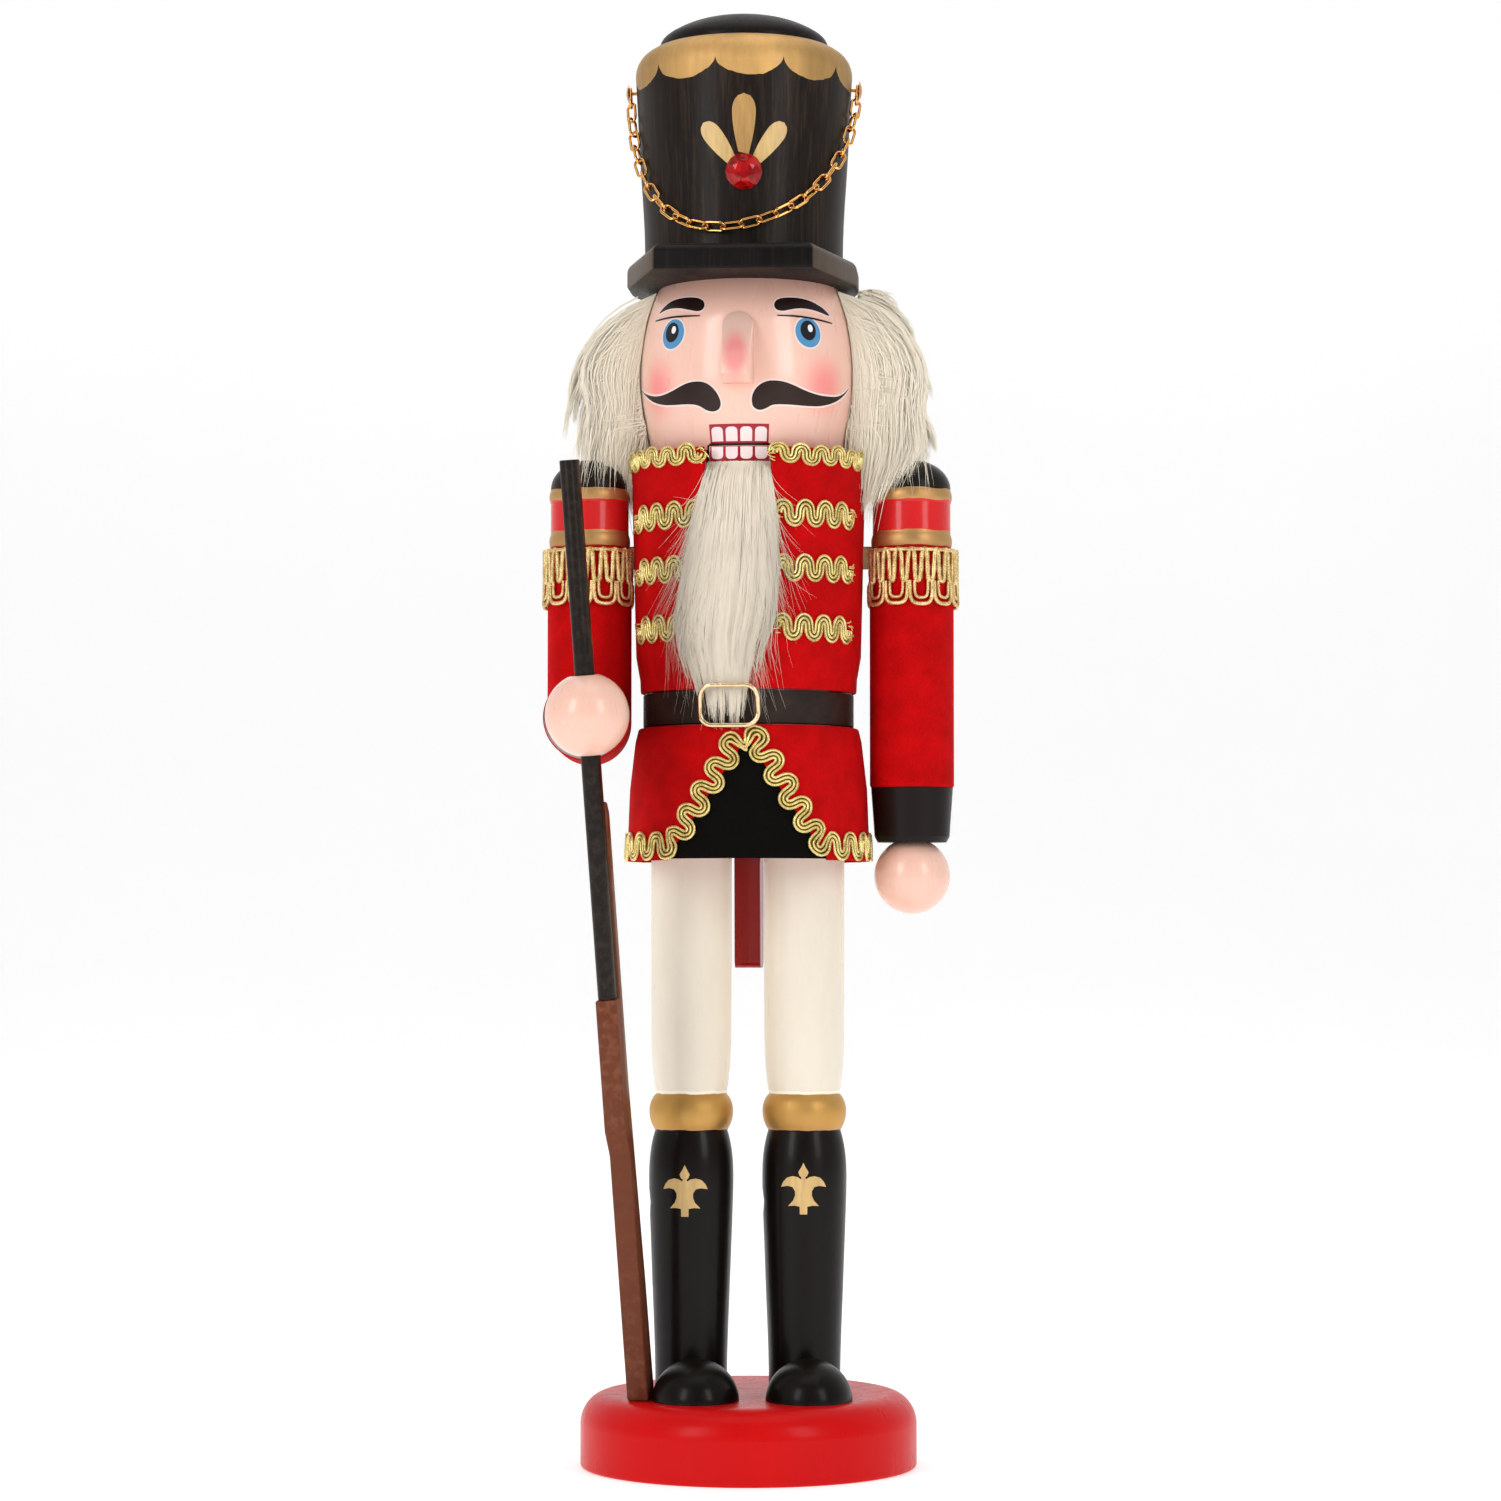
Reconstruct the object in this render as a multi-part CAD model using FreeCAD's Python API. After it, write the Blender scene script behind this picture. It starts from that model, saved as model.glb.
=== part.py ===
import FreeCAD, Part
import math
import os

# A wooden nutcracker soldier, 380 mm tall, as the separate pieces that it is assembled from.
# Millimetres. The origin is the centre of the base's underside, +Z is up and the figure faces -Y,
# so the hand that holds the rifle, its right, is on the -X side. Left and right are the figure's own.
# An azimuth is 0 at the front and grows towards +X, the figure's left.

V = FreeCAD.Vector
UP = V(0, 0, 1)

# ---- Driving dimensions ----

# Levels, from the floor up
BASE_TOP = 19.0
BLOCK_BOTTOM = 158.0
BELT_BOTTOM = 191.3
BELT_TOP = 199.9
SHOULDER = 261.5
MOUTH = 263.0
HEAD_TOP = 306.0
BRIM_TOP = 312.7
HAT_TOP = 378.6

# Base and legs
BASE_RADIUS = 43.6
BASE_FLAT_RADIUS = 36.5
LEG_X = {"right": -14.9, "left": 14.5}
LEG_Y = -1.0
LEG_DOWEL_LENGTH = 22.0
TOE_X = {"right": -13.5, "left": 15.4}
TOE_Y = -19.5
TOE_HALF_WIDTH = 11.1
TOE_LENGTH = 12.5
TOE_HEIGHT = 10.6
TOE_TURN = 5.0

# How far the pieces are turned about the vertical: the head and body, the hat, the belt buckle
BODY_TURN = -5.5
HAT_TURN = -4.0
BUCKLE_TURN = -9.5
SKIRT_TURN = -1.0

# The hat sits a little to the figure's right
HAT_X = -1.2

# Jaw: it turns on a pin across the body
PIVOT_Z = 244.0
PIN_RADIUS = 1.5
PIN_RUNNING_GAP = 0.06
PIN_HALF_LENGTH = 27.0
JAW_WIDTH = 15.8
JAW_FRONT_RADIUS = 25.3
JAW_BACK_Y = -17.5
LEVER_THICKNESS = 6.9
LEVER_X = -3.0
LEVER_FOOT = 128.5
LEVER_CORNER = 2.5
SLOT_WIDTH = 7.7
POCKET_WIDTH = 16.8
POCKET_FLOOR = 221.0
SLIT_WIDTH = 8.8
SLIT_TOP = 256.0

# Nose: it stands out as far as its tip
NOSE_TIP_Y = -38.6

# Felt coat
FELT = 1.2
GLUE = 0.1
BRAID = 1.0
BRAID_LIFT = 0.05
CHEST = [(28.2, 200.2), (28.3, 203.5), (29.4, 209.5), (30.7, 262.0)]
SKIRT = [(31.7, 156.5), (31.0, 175.0), (29.4, 189.0), (28.6, 191.2)]
SKIRT_OPENING_TOP = 187.5
SKIRT_OPENING_HALF = 21.0
JAW_OPENING_HALF = 8.8
HEM_BRAID_HEIGHT = 7.0
FROG_LEVELS = (216.0, 231.0, 245.0)
FROG_HEIGHT = 7.0
FROG_START = 18.0
FROG_END = 66.5
COLLAR_BOTTOM = 257.5
COLLAR_RISE = 1.0
COLLAR_START = 16.3

# Belt, in the body's waist, and its buckle
WAIST_RADIUS = 26.1
BELT_INNER_RADIUS = 26.15
BELT_OUTER_RADIUS = 27.5
BUCKLE_Y = -29.95
BUCKLE_BOTTOM = 190.15

# Arms
ARM_X = {"right": -41.6, "left": 42.7}
ARM_WOOD_RADIUS = 9.8
SLEEVE_RADIUS = 11.0
SLEEVE_TOP = 238.0
CUFF_TOP = 175.7
CUFF_BOTTOM = 161.5
FRINGE_BOTTOM = 222.6
FRINGE_RADIUS = 12.2
FRINGE_CLEAR_RADIUS = 31.0
SHOULDER_DOWEL_Z = 236.0
ELBOW_Z = 193.0
FOREARM_CUFF_BACK = -24.0
FOREARM_FRONT = -35.0
HAND_LEFT = V(42.7, 0, 152.8)
HAND_LEFT_RADIUS = 9.9
HAND_RIGHT = V(-40.4, -45, 192.5)
HAND_RIGHT_RADIUS = 10.6

# Dowels, a close sliding fit in their glued holes
DOWEL_RADIUS = 3.0
SMALL_DOWEL_RADIUS = 2.0
DOWEL_FIT = 0.05

# Rifle: the front edge runs from its foot on the base to the muzzle
RIFLE_FOOT = V(-28.9, -26.0, BASE_TOP)
RIFLE_MUZZLE = V(-45.2, -55.0, 255.4)
RIFLE_TWIST = -9.0
BARREL_WIDTH = 4.6
BARREL_DEPTH = 5.0
BARREL_FOOT = 103.0
FOREND_TOP = 152.5
WRIST = 66.0
STOCK_THICKNESS = 5.4

# Hat chain
POST_Z = 359.0
POST_SHANK_RADIUS = 0.45
POST_HEAD_RADIUS = 2.6
POST_DOME_RADIUS = 5.0
POST_STANDOFF = 2.15
CHAIN_SHAPE = 30.6
CHAIN_SWAY = 2.0
LINK_LENGTH = 6.5
LINK_WIDTH = 3.4
LINK_WIRE = 0.75
LINK_PITCH = 4.7
CHAIN_STANDOFF = 1.65

FAR = 200.0


# ---- Ways of making a solid ----


def turned(*runs, at=(0.0, 0.0)):
    """A turning about the vertical through `at`. A run is a list of (radius, height) points, from the
    bottom up: two points make a straight side, and more make one smooth curve."""
    first, last = runs[0][0], runs[-1][-1]
    ends = [[last, (0, last[1])], [(0, last[1]), (0, first[1])]]
    edges = []
    for run in [[(0, first[1]), first], *runs, *ends]:
        points = [V(radius, 0, height) for radius, height in run]
        if points[0].distanceToPoint(points[-1]) < 1e-6:
            continue
        if len(points) == 2:
            edges.append(Part.makeLine(points[0], points[1]))
        else:
            curve = Part.BSplineCurve()
            curve.interpolate(points)
            edges.append(curve.toShape())
    solid = Part.Face(Part.Wire(edges)).revolve(V(), UP, 360)
    return solid.translated(V(at[0], at[1], 0))


def straight_sides(points):
    """The runs of a turning whose sides are straight between the points."""
    return [[points[i], points[i + 1]] for i in range(len(points) - 1)]


def board(outline, thickness, centre=0.0):
    """A flat board that stands front to back: an outline of (y, z) points, and a thickness across X."""
    points = [V(centre - thickness / 2, y, z) for y, z in outline]
    return Part.Face(Part.makePolygon(points + points[:1])).extrude(V(thickness, 0, 0))


def front_cutter(outline):
    """Everything in front of the axis that shows inside an outline of (x, z) points."""
    points = [V(x, 0, z) for x, z in outline]
    return Part.Face(Part.makePolygon(points + points[:1])).extrude(V(0, -FAR, 0))


def box(x, y, z):
    """A box between two values on each axis."""
    return Part.makeBox(x[1] - x[0], y[1] - y[0], z[1] - z[0], V(x[0], y[0], z[0]))


def wedge(start, end, bottom, top):
    """The slice of space between two azimuths and two heights."""
    slice_ = Part.makeCylinder(FAR, top - bottom, V(0, 0, bottom), UP, end - start)
    return slice_.rotated(V(), UP, start - 90)


def radius_at(profile, height):
    """The radius of a straight-sided profile at a height."""
    for (r0, z0), (r1, z1) in zip(profile, profile[1:]):
        if z0 <= height <= z1:
            return r0 + (r1 - r0) * (height - z0) / (z1 - z0)
    raise ValueError(height)


def layer(profile, bottom, top, inside, outside, start=0.0, end=360.0):
    """A band that follows a profile, from one distance outside it to another, between two azimuths."""
    heights = [bottom, *(z for _, z in profile if bottom < z < top), top]
    outer, inner = (
        [(radius_at(profile, z) + offset, z) for z in heights] for offset in (outside, inside)
    )
    band = turned(*straight_sides(outer)).cut(turned(*straight_sides(inner)))
    if end - start < 360:
        band = band.common(wedge(start, end, bottom - 1, top + 1))
    return band


def rounded(solid, radius, along):
    """The solid with its straight edges that run along a direction rounded."""
    edges = []
    for edge in solid.Edges:
        if isinstance(edge.Curve, Part.Line) and abs(edge.Curve.Direction.dot(along)) > 0.999:
            edges.append(edge)
    return solid.makeFillet(radius, edges)


def turn(shape, degrees, x=0.0):
    """The shape turned about the vertical through (x, 0)."""
    return shape.rotated(V(x, 0, 0), UP, degrees)


def save(name, *shapes):
    """Writes one node from the solids of the shapes."""
    solids = [solid for shape in shapes for solid in shape.Solids]
    node = solids[0] if len(solids) == 1 else Part.makeCompound(solids)
    if not node.isValid():
        print("not valid:", name)
    node.exportStep(f"parts/{name}.step")


# ---- Base, legs and shoes ----


def leg_dowels():
    """Four dowels, one at each end of each leg."""
    dowels = []
    for x in LEG_X.values():
        for level in (BASE_TOP, BLOCK_BOTTOM):
            foot = V(x, LEG_Y, level - LEG_DOWEL_LENGTH / 2)
            dowels.append(Part.makeCylinder(DOWEL_RADIUS, LEG_DOWEL_LENGTH, foot))
    return dowels


def holes_for(dowels, slack=DOWEL_FIT):
    """The holes that round dowels fit in, a little deeper at both ends."""
    holes = []
    for dowel in dowels:
        ends = [face for face in dowel.Faces if isinstance(face.Surface, Part.Plane)]
        start, end = ends[0].CenterOfMass, ends[1].CenterOfMass
        along = (end - start).normalize()
        radius = ends[0].Edges[0].Curve.Radius + slack
        depth = (end - start).Length + 1.0
        holes.append(Part.makeCylinder(radius, depth, start - along * 0.5, along))
    return Part.makeCompound(holes)


def base_disc():
    """A thick disc with a broad round over its top edge and a small one under it."""
    return turned(
        [(42.6, 0), (43.35, 0.3), (BASE_RADIUS, 1.2)],
        [(BASE_RADIUS, 1.2), (BASE_RADIUS, 11.5)],
        [(BASE_RADIUS, 11.5), (42.3, 15.6), (39.8, 18.1), (BASE_FLAT_RADIUS, BASE_TOP)],
    )


def leg(x):
    """One turning: a boot, a knee ring and a thigh."""
    return turned(
        [(9.3, BASE_TOP), (9.6, 35), (10.0, 45), (10.4, 56), (10.9, 70), (10.5, 82), (9.4, 86.8)],
        [(9.4, 86.8), (10.6, 89.4), (10.9, 92.0), (10.4, 94.4), (9.2, 96.2)],
        [(9.2, 96.2), (10.0, 102), (10.4, 110), (10.5, 122)],
        [(10.5, 122), (10.5, BLOCK_BOTTOM)],
        at=(x, LEG_Y),
    )


def toe_cap(x):
    """A quarter of a long dome, glued in front of the boot."""
    centre = V(x, TOE_Y, BASE_TOP)
    stretch = FreeCAD.Matrix()
    stretch.scale(TOE_HALF_WIDTH, TOE_LENGTH, TOE_HEIGHT)
    dome = Part.makeSphere(1.0).transformGeometry(stretch)
    dome = dome.rotated(V(), UP, TOE_TURN).translated(centre)
    return dome.common(box((-FAR, FAR), (-FAR, 0), (BASE_TOP, FAR)))


def make_stand():
    dowels = leg_dowels()
    holes = holes_for(dowels)
    save("base_disc", base_disc().cut(holes))
    save("leg_dowels", *dowels)
    for side, x in LEG_X.items():
        boot = leg(x)
        save(f"leg_{side}", boot.cut(holes))
        save(f"toe_cap_{side}", toe_cap(TOE_X[side]).cut(boot))
    return holes


# ---- Head and body, and the jaw inside them ----


def block_turning():
    """The head and body, one turning: the waist is cut in for the belt."""
    under = FELT + GLUE
    skirt = [(r - under, z) for r, z in SKIRT if z > BLOCK_BOTTOM]
    chest = [(r - under, z) for r, z in CHEST if z < SHOULDER]
    skirt.insert(0, (radius_at(SKIRT, BLOCK_BOTTOM) - under, BLOCK_BOTTOM))
    chest.append((radius_at(CHEST, SHOULDER) - under, SHOULDER))
    waist = [(WAIST_RADIUS, SKIRT[-1][1]), (WAIST_RADIUS, CHEST[0][1])]
    body = [*skirt, *waist, *chest, (24.8, SHOULDER)]
    head = [(24.8, SHOULDER), (26.3, 268), (27.8, 276), (28.3, 283), (27.6, 292), (25.9, 300)]
    return turned(*straight_sides(body), [*head, (23.6, HEAD_TOP)])


def jaw_room():
    """The front pocket that the jaw block moves in and the slot that the lever goes through."""
    pocket = box((-POCKET_WIDTH / 2, POCKET_WIDTH / 2), (-FAR, -10), (POCKET_FLOOR, MOUTH))
    sides = (LEVER_X - SLOT_WIDTH / 2, LEVER_X + SLOT_WIDTH / 2)
    slot = box(sides, (-11, FAR), (223, SLIT_TOP + 2))
    groove = box(sides, (22.6, FAR), (BLOCK_BOTTOM - 1, 230))
    return pocket.fuse(slot).fuse(groove)


def pivot_pin(radius, half_length):
    pin = Part.makeCylinder(radius, 2 * half_length, V(-half_length, 0, PIVOT_Z), V(1, 0, 0))
    return turn(pin, BODY_TURN)


def jaw_block():
    """The lower jaw, with its front rounded to the head's radius."""
    outline = [(JAW_BACK_Y, MOUTH - 0.3), (-28, MOUTH - 0.3), (-28, 232), (JAW_BACK_Y, 232)]
    front = Part.makeCylinder(JAW_FRONT_RADIUS, FAR, V(0, 0, 200))
    return board(outline, JAW_WIDTH).common(front)


def jaw_lever():
    """The board that the jaw is glued to. It passes through the body and hangs down behind it."""
    outline = [
        (JAW_BACK_Y, 258),
        (-8, 254),
        (24, 249),
        (33, 243.5),
        (37, 234),
        (38, 150),
        (37.5, LEVER_FOOT),
        (27.5, LEVER_FOOT),
        (24.5, 222),
        (18, 231),
        (-4, 233),
        (JAW_BACK_Y, 230),
    ]
    lever = board(outline, LEVER_THICKNESS, LEVER_X)
    corners = []
    for edge in lever.Edges:
        if abs(edge.Vertexes[0].Z - LEVER_FOOT) < 0.01 and edge.Length < LEVER_THICKNESS + 0.1:
            corners.append(edge)
    hole = Part.makeCylinder(PIN_RADIUS + PIN_RUNNING_GAP, 40, V(-20, 0, PIVOT_Z), V(1, 0, 0))
    return lever.makeFillet(LEVER_CORNER, corners).cut(hole)


def arch(width, bottom, top, y):
    """An upright outline with square feet and a half-round top."""
    half = width / 2
    left, right = V(-half, y, top - half), V(half, y, top - half)
    return Part.Wire(
        [
            Part.makeLine(V(-half, y, bottom), V(half, y, bottom)),
            Part.makeLine(V(half, y, bottom), right),
            Part.Arc(right, V(0, y, top), left).toShape(),
            Part.makeLine(left, V(-half, y, bottom)),
        ]
    )


def nose(head):
    """A wedge with a rounded ridge that stands out furthest at its foot."""
    wedge_of_wood = Part.makeLoft([arch(8.8, 277.8, 297.2, -22), arch(5.9, 279.0, 296.0, -42)], True)
    ridge = [(-26.5, 297.6), (NOSE_TIP_Y, 281.6), (-60, 281.6), (-60, 320), (-26.5, 320)]
    above_ridge = board(ridge, 20)
    under_tip = board([(-20, 276.5), (-39.5, 279.6), (-60, 279.6), (-60, 260), (-20, 260)], 20)
    front = box((-10, 10), (-60, NOSE_TIP_Y), (270, 300))
    return turn(wedge_of_wood.cut(above_ridge).cut(under_tip).cut(front), BODY_TURN).cut(head)


def beard():
    """Fur on the front of the jaw that hangs over the coat."""
    plug = Part.makeCylinder(33.0, 24.3, V(0, 0, 234)).cut(
        Part.makeCylinder(JAW_FRONT_RADIUS + 0.05, 40, V(0, 0, 230))
    )
    plug = plug.common(box((-7.7, 7.7), (-FAR, 0), (230, 270)))
    pad = Part.makeCylinder(37.5, 55.5, V(0, 0, 203)).cut(Part.makeCylinder(32.4, 70, V(0, 0, 195)))
    outline = [(-8, 258.5), (-10, 245), (-13.5, 215), (-11, 203), (11, 203), (13.5, 215), (10, 245)]
    pad = pad.common(front_cutter([*outline, (8, 258.5)]))
    return turn(plug.fuse(pad), BODY_TURN)


def hair():
    """Fur round the sides and back of the head, from temple to temple."""
    side = [(38, 263.5), (43, 268), (45.5, 276), (43, 287), (38, 298), (34, HEAD_TOP - 0.4)]
    full = turned(side).cut(Part.makeCylinder(28.9, 60, V(0, 0, 255)))
    return turn(full.common(wedge(78, 282, 255, 310)), BODY_TURN)


def shoulder_dowels():
    length = 19.0
    return [
        Part.makeCylinder(DOWEL_RADIUS, length, V(sign * 19.0, 0, SHOULDER_DOWEL_Z), V(sign, 0, 0))
        for sign in (-1, 1)
    ]


def hat_dowel():
    return Part.makeCylinder(4.0, 30.0, V(0, 0, HEAD_TOP - 11))


def make_body(leg_holes):
    turning = block_turning()
    pin_hole = pivot_pin(PIN_RADIUS + 0.01, PIN_HALF_LENGTH + 0.5)
    block = turning.cut(turn(jaw_room(), BODY_TURN)).cut(pin_hole)
    block = block.cut(leg_holes).cut(holes_for(shoulder_dowels()))
    save("body_block", block.cut(holes_for([hat_dowel()])))
    save("pivot_pin", pivot_pin(PIN_RADIUS, PIN_HALF_LENGTH))
    save("jaw_block", turn(jaw_block(), BODY_TURN))
    save("jaw_lever", turn(jaw_lever(), BODY_TURN))
    save("nose", nose(turning))
    save("beard", beard())
    save("hair", hair())


# ---- Coat ----


def lever_slit(bottom, top, width=SLIT_WIDTH):
    """The gap at the back that the lever hangs in."""
    sides = (LEVER_X - width / 2, LEVER_X + width / 2)
    return turn(box(sides, (0, FAR), (bottom, top)), BODY_TURN)


def coat_chest():
    """Felt round the chest, open at the front for the jaw and at the back for the lever."""
    bottom, top = CHEST[0][1], CHEST[-1][1]
    felt = layer(CHEST, bottom, top, -FELT, 0)
    sides = (-JAW_OPENING_HALF, JAW_OPENING_HALF)
    jaw_opening = box(sides, (-FAR, 0), (POCKET_FLOOR, FAR * 2))
    felt = felt.cut(turn(jaw_opening, BODY_TURN)).cut(lever_slit(bottom - 1, SLIT_TOP))
    return felt.cut(holes_for(shoulder_dowels(), 0.3))


def skirt_triangle(top, half_width):
    """An inverted V as wide at the hem as twice its half width."""
    hem = SKIRT[0][1]
    low = 1.0
    wide = half_width * (top - hem + low) / (top - hem)
    return turn(front_cutter([(-wide, hem - low), (wide, hem - low), (0, top)]), SKIRT_TURN)


def coat_skirt():
    """Felt round the hips, with an inverted V at the front."""
    bottom, top = SKIRT[0][1], SKIRT[-1][1]
    felt = layer(SKIRT, bottom, top, -FELT, 0)
    felt = felt.cut(skirt_triangle(SKIRT_OPENING_TOP, SKIRT_OPENING_HALF))
    return felt.cut(lever_slit(bottom - 1, top + 1))


def skirt_panel():
    """Black felt that fills the V, set a little deeper than the coat."""
    panel = layer(SKIRT, SKIRT[0][1] + 0.3, SKIRT_OPENING_TOP, -FELT, -0.4)
    return panel.common(skirt_triangle(SKIRT_OPENING_TOP - 0.3, SKIRT_OPENING_HALF - 0.2))


def skirt_braid():
    """Braid down both sides of the V and round the hem."""
    hem = SKIRT[0][1]
    outer, inner = skirt_triangle(192.5, 24.6), skirt_triangle(183.6, 17.9)
    band = layer(SKIRT, hem, SKIRT[-1][1] - 1.5, BRAID_LIFT, BRAID)
    hem_band = layer(SKIRT, hem, hem + HEM_BRAID_HEIGHT, BRAID_LIFT, BRAID)
    braid = band.common(outer).cut(inner).fuse(hem_band.cut(inner)).removeSplitter()
    return braid.cut(lever_slit(hem - 1, hem + 20, SLIT_WIDTH + 1))


def frog_braids():
    """Three pairs of short braids across the chest."""
    half = FROG_HEIGHT / 2
    braids = []
    for level in FROG_LEVELS:
        for first, last in ((-FROG_END, -FROG_START), (FROG_START, FROG_END)):
            band = layer(CHEST, level - half, level + half, BRAID_LIFT, BRAID, first, last)
            braids.append(turn(band, BODY_TURN))
    return braids


def collar_braid():
    top = CHEST[-1][1] + COLLAR_RISE
    collar = [*CHEST, (CHEST[-1][0], top)]
    ends = (COLLAR_START, 360 - COLLAR_START)
    return turn(layer(collar, COLLAR_BOTTOM, top, BRAID_LIFT, BRAID, *ends), BODY_TURN)


def belt():
    height = BELT_TOP - BELT_BOTTOM
    strap = Part.makeCylinder(BELT_OUTER_RADIUS, height, V(0, 0, BELT_BOTTOM))
    strap = strap.cut(Part.makeCylinder(BELT_INNER_RADIUS, height, V(0, 0, BELT_BOTTOM)))
    return strap.cut(lever_slit(BELT_BOTTOM - 1, BELT_TOP + 1))


def buckle():
    """A rectangle of round wire with rounded corners, upright in front of the belt."""
    width, height, wire, corner = 16.3, 11.3, 1.3, 2.4
    outer = rounded(box((-width / 2, width / 2), (-wire / 2, wire / 2), (0, height)), corner, V(0, 1, 0))
    inner = box((wire - width / 2, width / 2 - wire), (-wire, wire), (wire, height - wire))
    frame = outer.cut(rounded(inner, corner - wire, V(0, 1, 0)))
    return turn(frame.translated(V(0, BUCKLE_Y, BUCKLE_BOTTOM)), BUCKLE_TURN)


def make_coat():
    save("coat_chest", coat_chest())
    save("coat_skirt", coat_skirt())
    save("skirt_panel", skirt_panel())
    save("skirt_braid", skirt_braid())
    save("frog_braids", *frog_braids())
    save("collar_braid", collar_braid())
    save("belt", belt())
    save("buckle", buckle())


# ---- Arms, hands and rifle ----


def shoulder_runs(foot):
    """The painted top of an arm: two gold rings with a band between them, and a dome."""
    wide, ring = 10.2, 10.6
    return [
        [(ARM_WOOD_RADIUS, foot), (ARM_WOOD_RADIUS, SLEEVE_TOP + 0.1)],
        [(ARM_WOOD_RADIUS, SLEEVE_TOP + 0.1), (wide, SLEEVE_TOP + 0.1)],
        [(wide, SLEEVE_TOP + 0.1), (ring, 240.0), (wide, 242.0)],
        [(wide, 242.0), (wide, 250.0)],
        [(wide, 250.0), (ring, 251.8), (wide, 253.5)],
        [(wide, 253.5), (9.4, 257.0), (6.6, 259.9), (0, 261.4)],
    ]


def arm_left():
    cuff = [(9.0, CUFF_BOTTOM), (9.8, 163.0), (10.7, CUFF_TOP), (ARM_WOOD_RADIUS, CUFF_TOP)]
    return turned(*straight_sides(cuff), *shoulder_runs(CUFF_TOP), at=(ARM_X["left"], 0))


def behind_mitre():
    """The half of space on the upper arm's side of the elbow's mitre."""
    corners = [(-FAR, ELBOW_Z + FAR), (FAR, ELBOW_Z - FAR), (FAR, ELBOW_Z + FAR)]
    return board(corners, 60.0, ARM_X["right"])


def upper_arm_right():
    arm = turned(*shoulder_runs(ELBOW_Z - 20), at=(ARM_X["right"], 0))
    return arm.common(behind_mitre())


def forearm_right():
    """A level turning with a cuff at its front end."""
    length = -FOREARM_FRONT
    cuff_length = FOREARM_CUFF_BACK - FOREARM_FRONT
    lying = turned(
        [(9.2, 0), (10.2, 1.5)],
        [(10.2, 1.5), (10.7, cuff_length)],
        [(10.7, cuff_length), (ARM_WOOD_RADIUS, cuff_length)],
        [(ARM_WOOD_RADIUS, cuff_length), (ARM_WOOD_RADIUS, length + 20)],
    )
    lying = lying.rotated(V(), V(1, 0, 0), -90)
    return lying.translated(V(ARM_X["right"], FOREARM_FRONT, ELBOW_Z)).cut(behind_mitre())


def tube_along(start, direction, length, outer, inner):
    full = Part.makeCylinder(outer, length, start, direction)
    return full.cut(Part.makeCylinder(inner, length, start, direction))


def sleeve_right():
    """A felt tube round the upper arm and forearm, joined at the mitre."""
    inner, outer = ARM_WOOD_RADIUS + GLUE, SLEEVE_RADIUS
    bottom, back = ELBOW_Z - 20, 20.0
    x = ARM_X["right"]
    upper = tube_along(V(x, 0, bottom), UP, SLEEVE_TOP - bottom, outer, inner)
    start = V(x, FOREARM_CUFF_BACK + 0.1, ELBOW_Z)
    fore = tube_along(start, V(0, 1, 0), back - start.y, outer, inner)
    return upper.common(behind_mitre()).fuse(fore.cut(behind_mitre()))


def sleeve_left():
    start = V(ARM_X["left"], 0, CUFF_TOP + 0.1)
    length = SLEEVE_TOP - start.z
    return tube_along(start, UP, length, SLEEVE_RADIUS, ARM_WOOD_RADIUS + GLUE)


def fringe(x):
    """Looped braid round the top of a sleeve, open where the arm meets the coat."""
    start = V(x, 0, FRINGE_BOTTOM)
    height = SLEEVE_TOP - FRINGE_BOTTOM
    ring = tube_along(start, UP, height, FRINGE_RADIUS, SLEEVE_RADIUS + BRAID_LIFT)
    coat_side = Part.makeCylinder(FRINGE_CLEAR_RADIUS, 40, V(0, 0, FRINGE_BOTTOM - 10))
    return ring.cut(coat_side).cut(holes_for(shoulder_dowels(), 0.3))


def hand_dowels():
    length = 12.0
    x = ARM_X["right"] + 0.6
    return [
        Part.makeCylinder(SMALL_DOWEL_RADIUS, length, V(x, -40.5, ELBOW_Z), V(0, 1, 0)),
        Part.makeCylinder(SMALL_DOWEL_RADIUS, length, V(HAND_LEFT.x, 0, CUFF_BOTTOM - length / 2)),
    ]


def placed_as_rifle(shape):
    """Takes a rifle made upright, its front edge on the Z axis, to its place in the hand."""
    along = (RIFLE_MUZZLE - RIFLE_FOOT).normalize()
    across = V(1, 0, 0) - along * along.x
    across.normalize()
    upright = FreeCAD.Rotation(across, along.cross(across), along, "XYZ")
    twist = FreeCAD.Rotation(along, RIFLE_TWIST)
    moved = shape.copy()
    moved.Placement = FreeCAD.Placement(RIFLE_FOOT, twist.multiply(upright))
    return moved


def rifle_barrel():
    """Half-round at the front and square behind."""
    length = (RIFLE_MUZZLE - RIFLE_FOOT).Length - BARREL_FOOT
    half = BARREL_WIDTH / 2
    front = Part.makeCylinder(half, length, V(0, half, BARREL_FOOT))
    back = box((-half, half), (half, BARREL_DEPTH), (BARREL_FOOT, BARREL_FOOT + length))
    return placed_as_rifle(front.fuse(back).removeSplitter())


def rifle_stock():
    """A flat board: the forend behind the barrel, a wrist that steps back, and a deeper butt."""
    gap = 0.05
    outline = [
        (0, BARREL_FOOT - gap),
        (0, WRIST + 3.5),
        (4, WRIST - 3.5),
        (4, -4),
        (13.5, -4),
        (12.5, 30),
        (10.5, WRIST - 8),
        (9, WRIST + 14),
        (9, FOREND_TOP - 3),
        (7, FOREND_TOP),
        (BARREL_DEPTH + gap, FOREND_TOP),
        (BARREL_DEPTH + gap, BARREL_FOOT - gap),
    ]
    stock = placed_as_rifle(board(outline, STOCK_THICKNESS))
    return stock.cut(box((-FAR, FAR), (-FAR, FAR), (-FAR, BASE_TOP + 0.05)))


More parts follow.
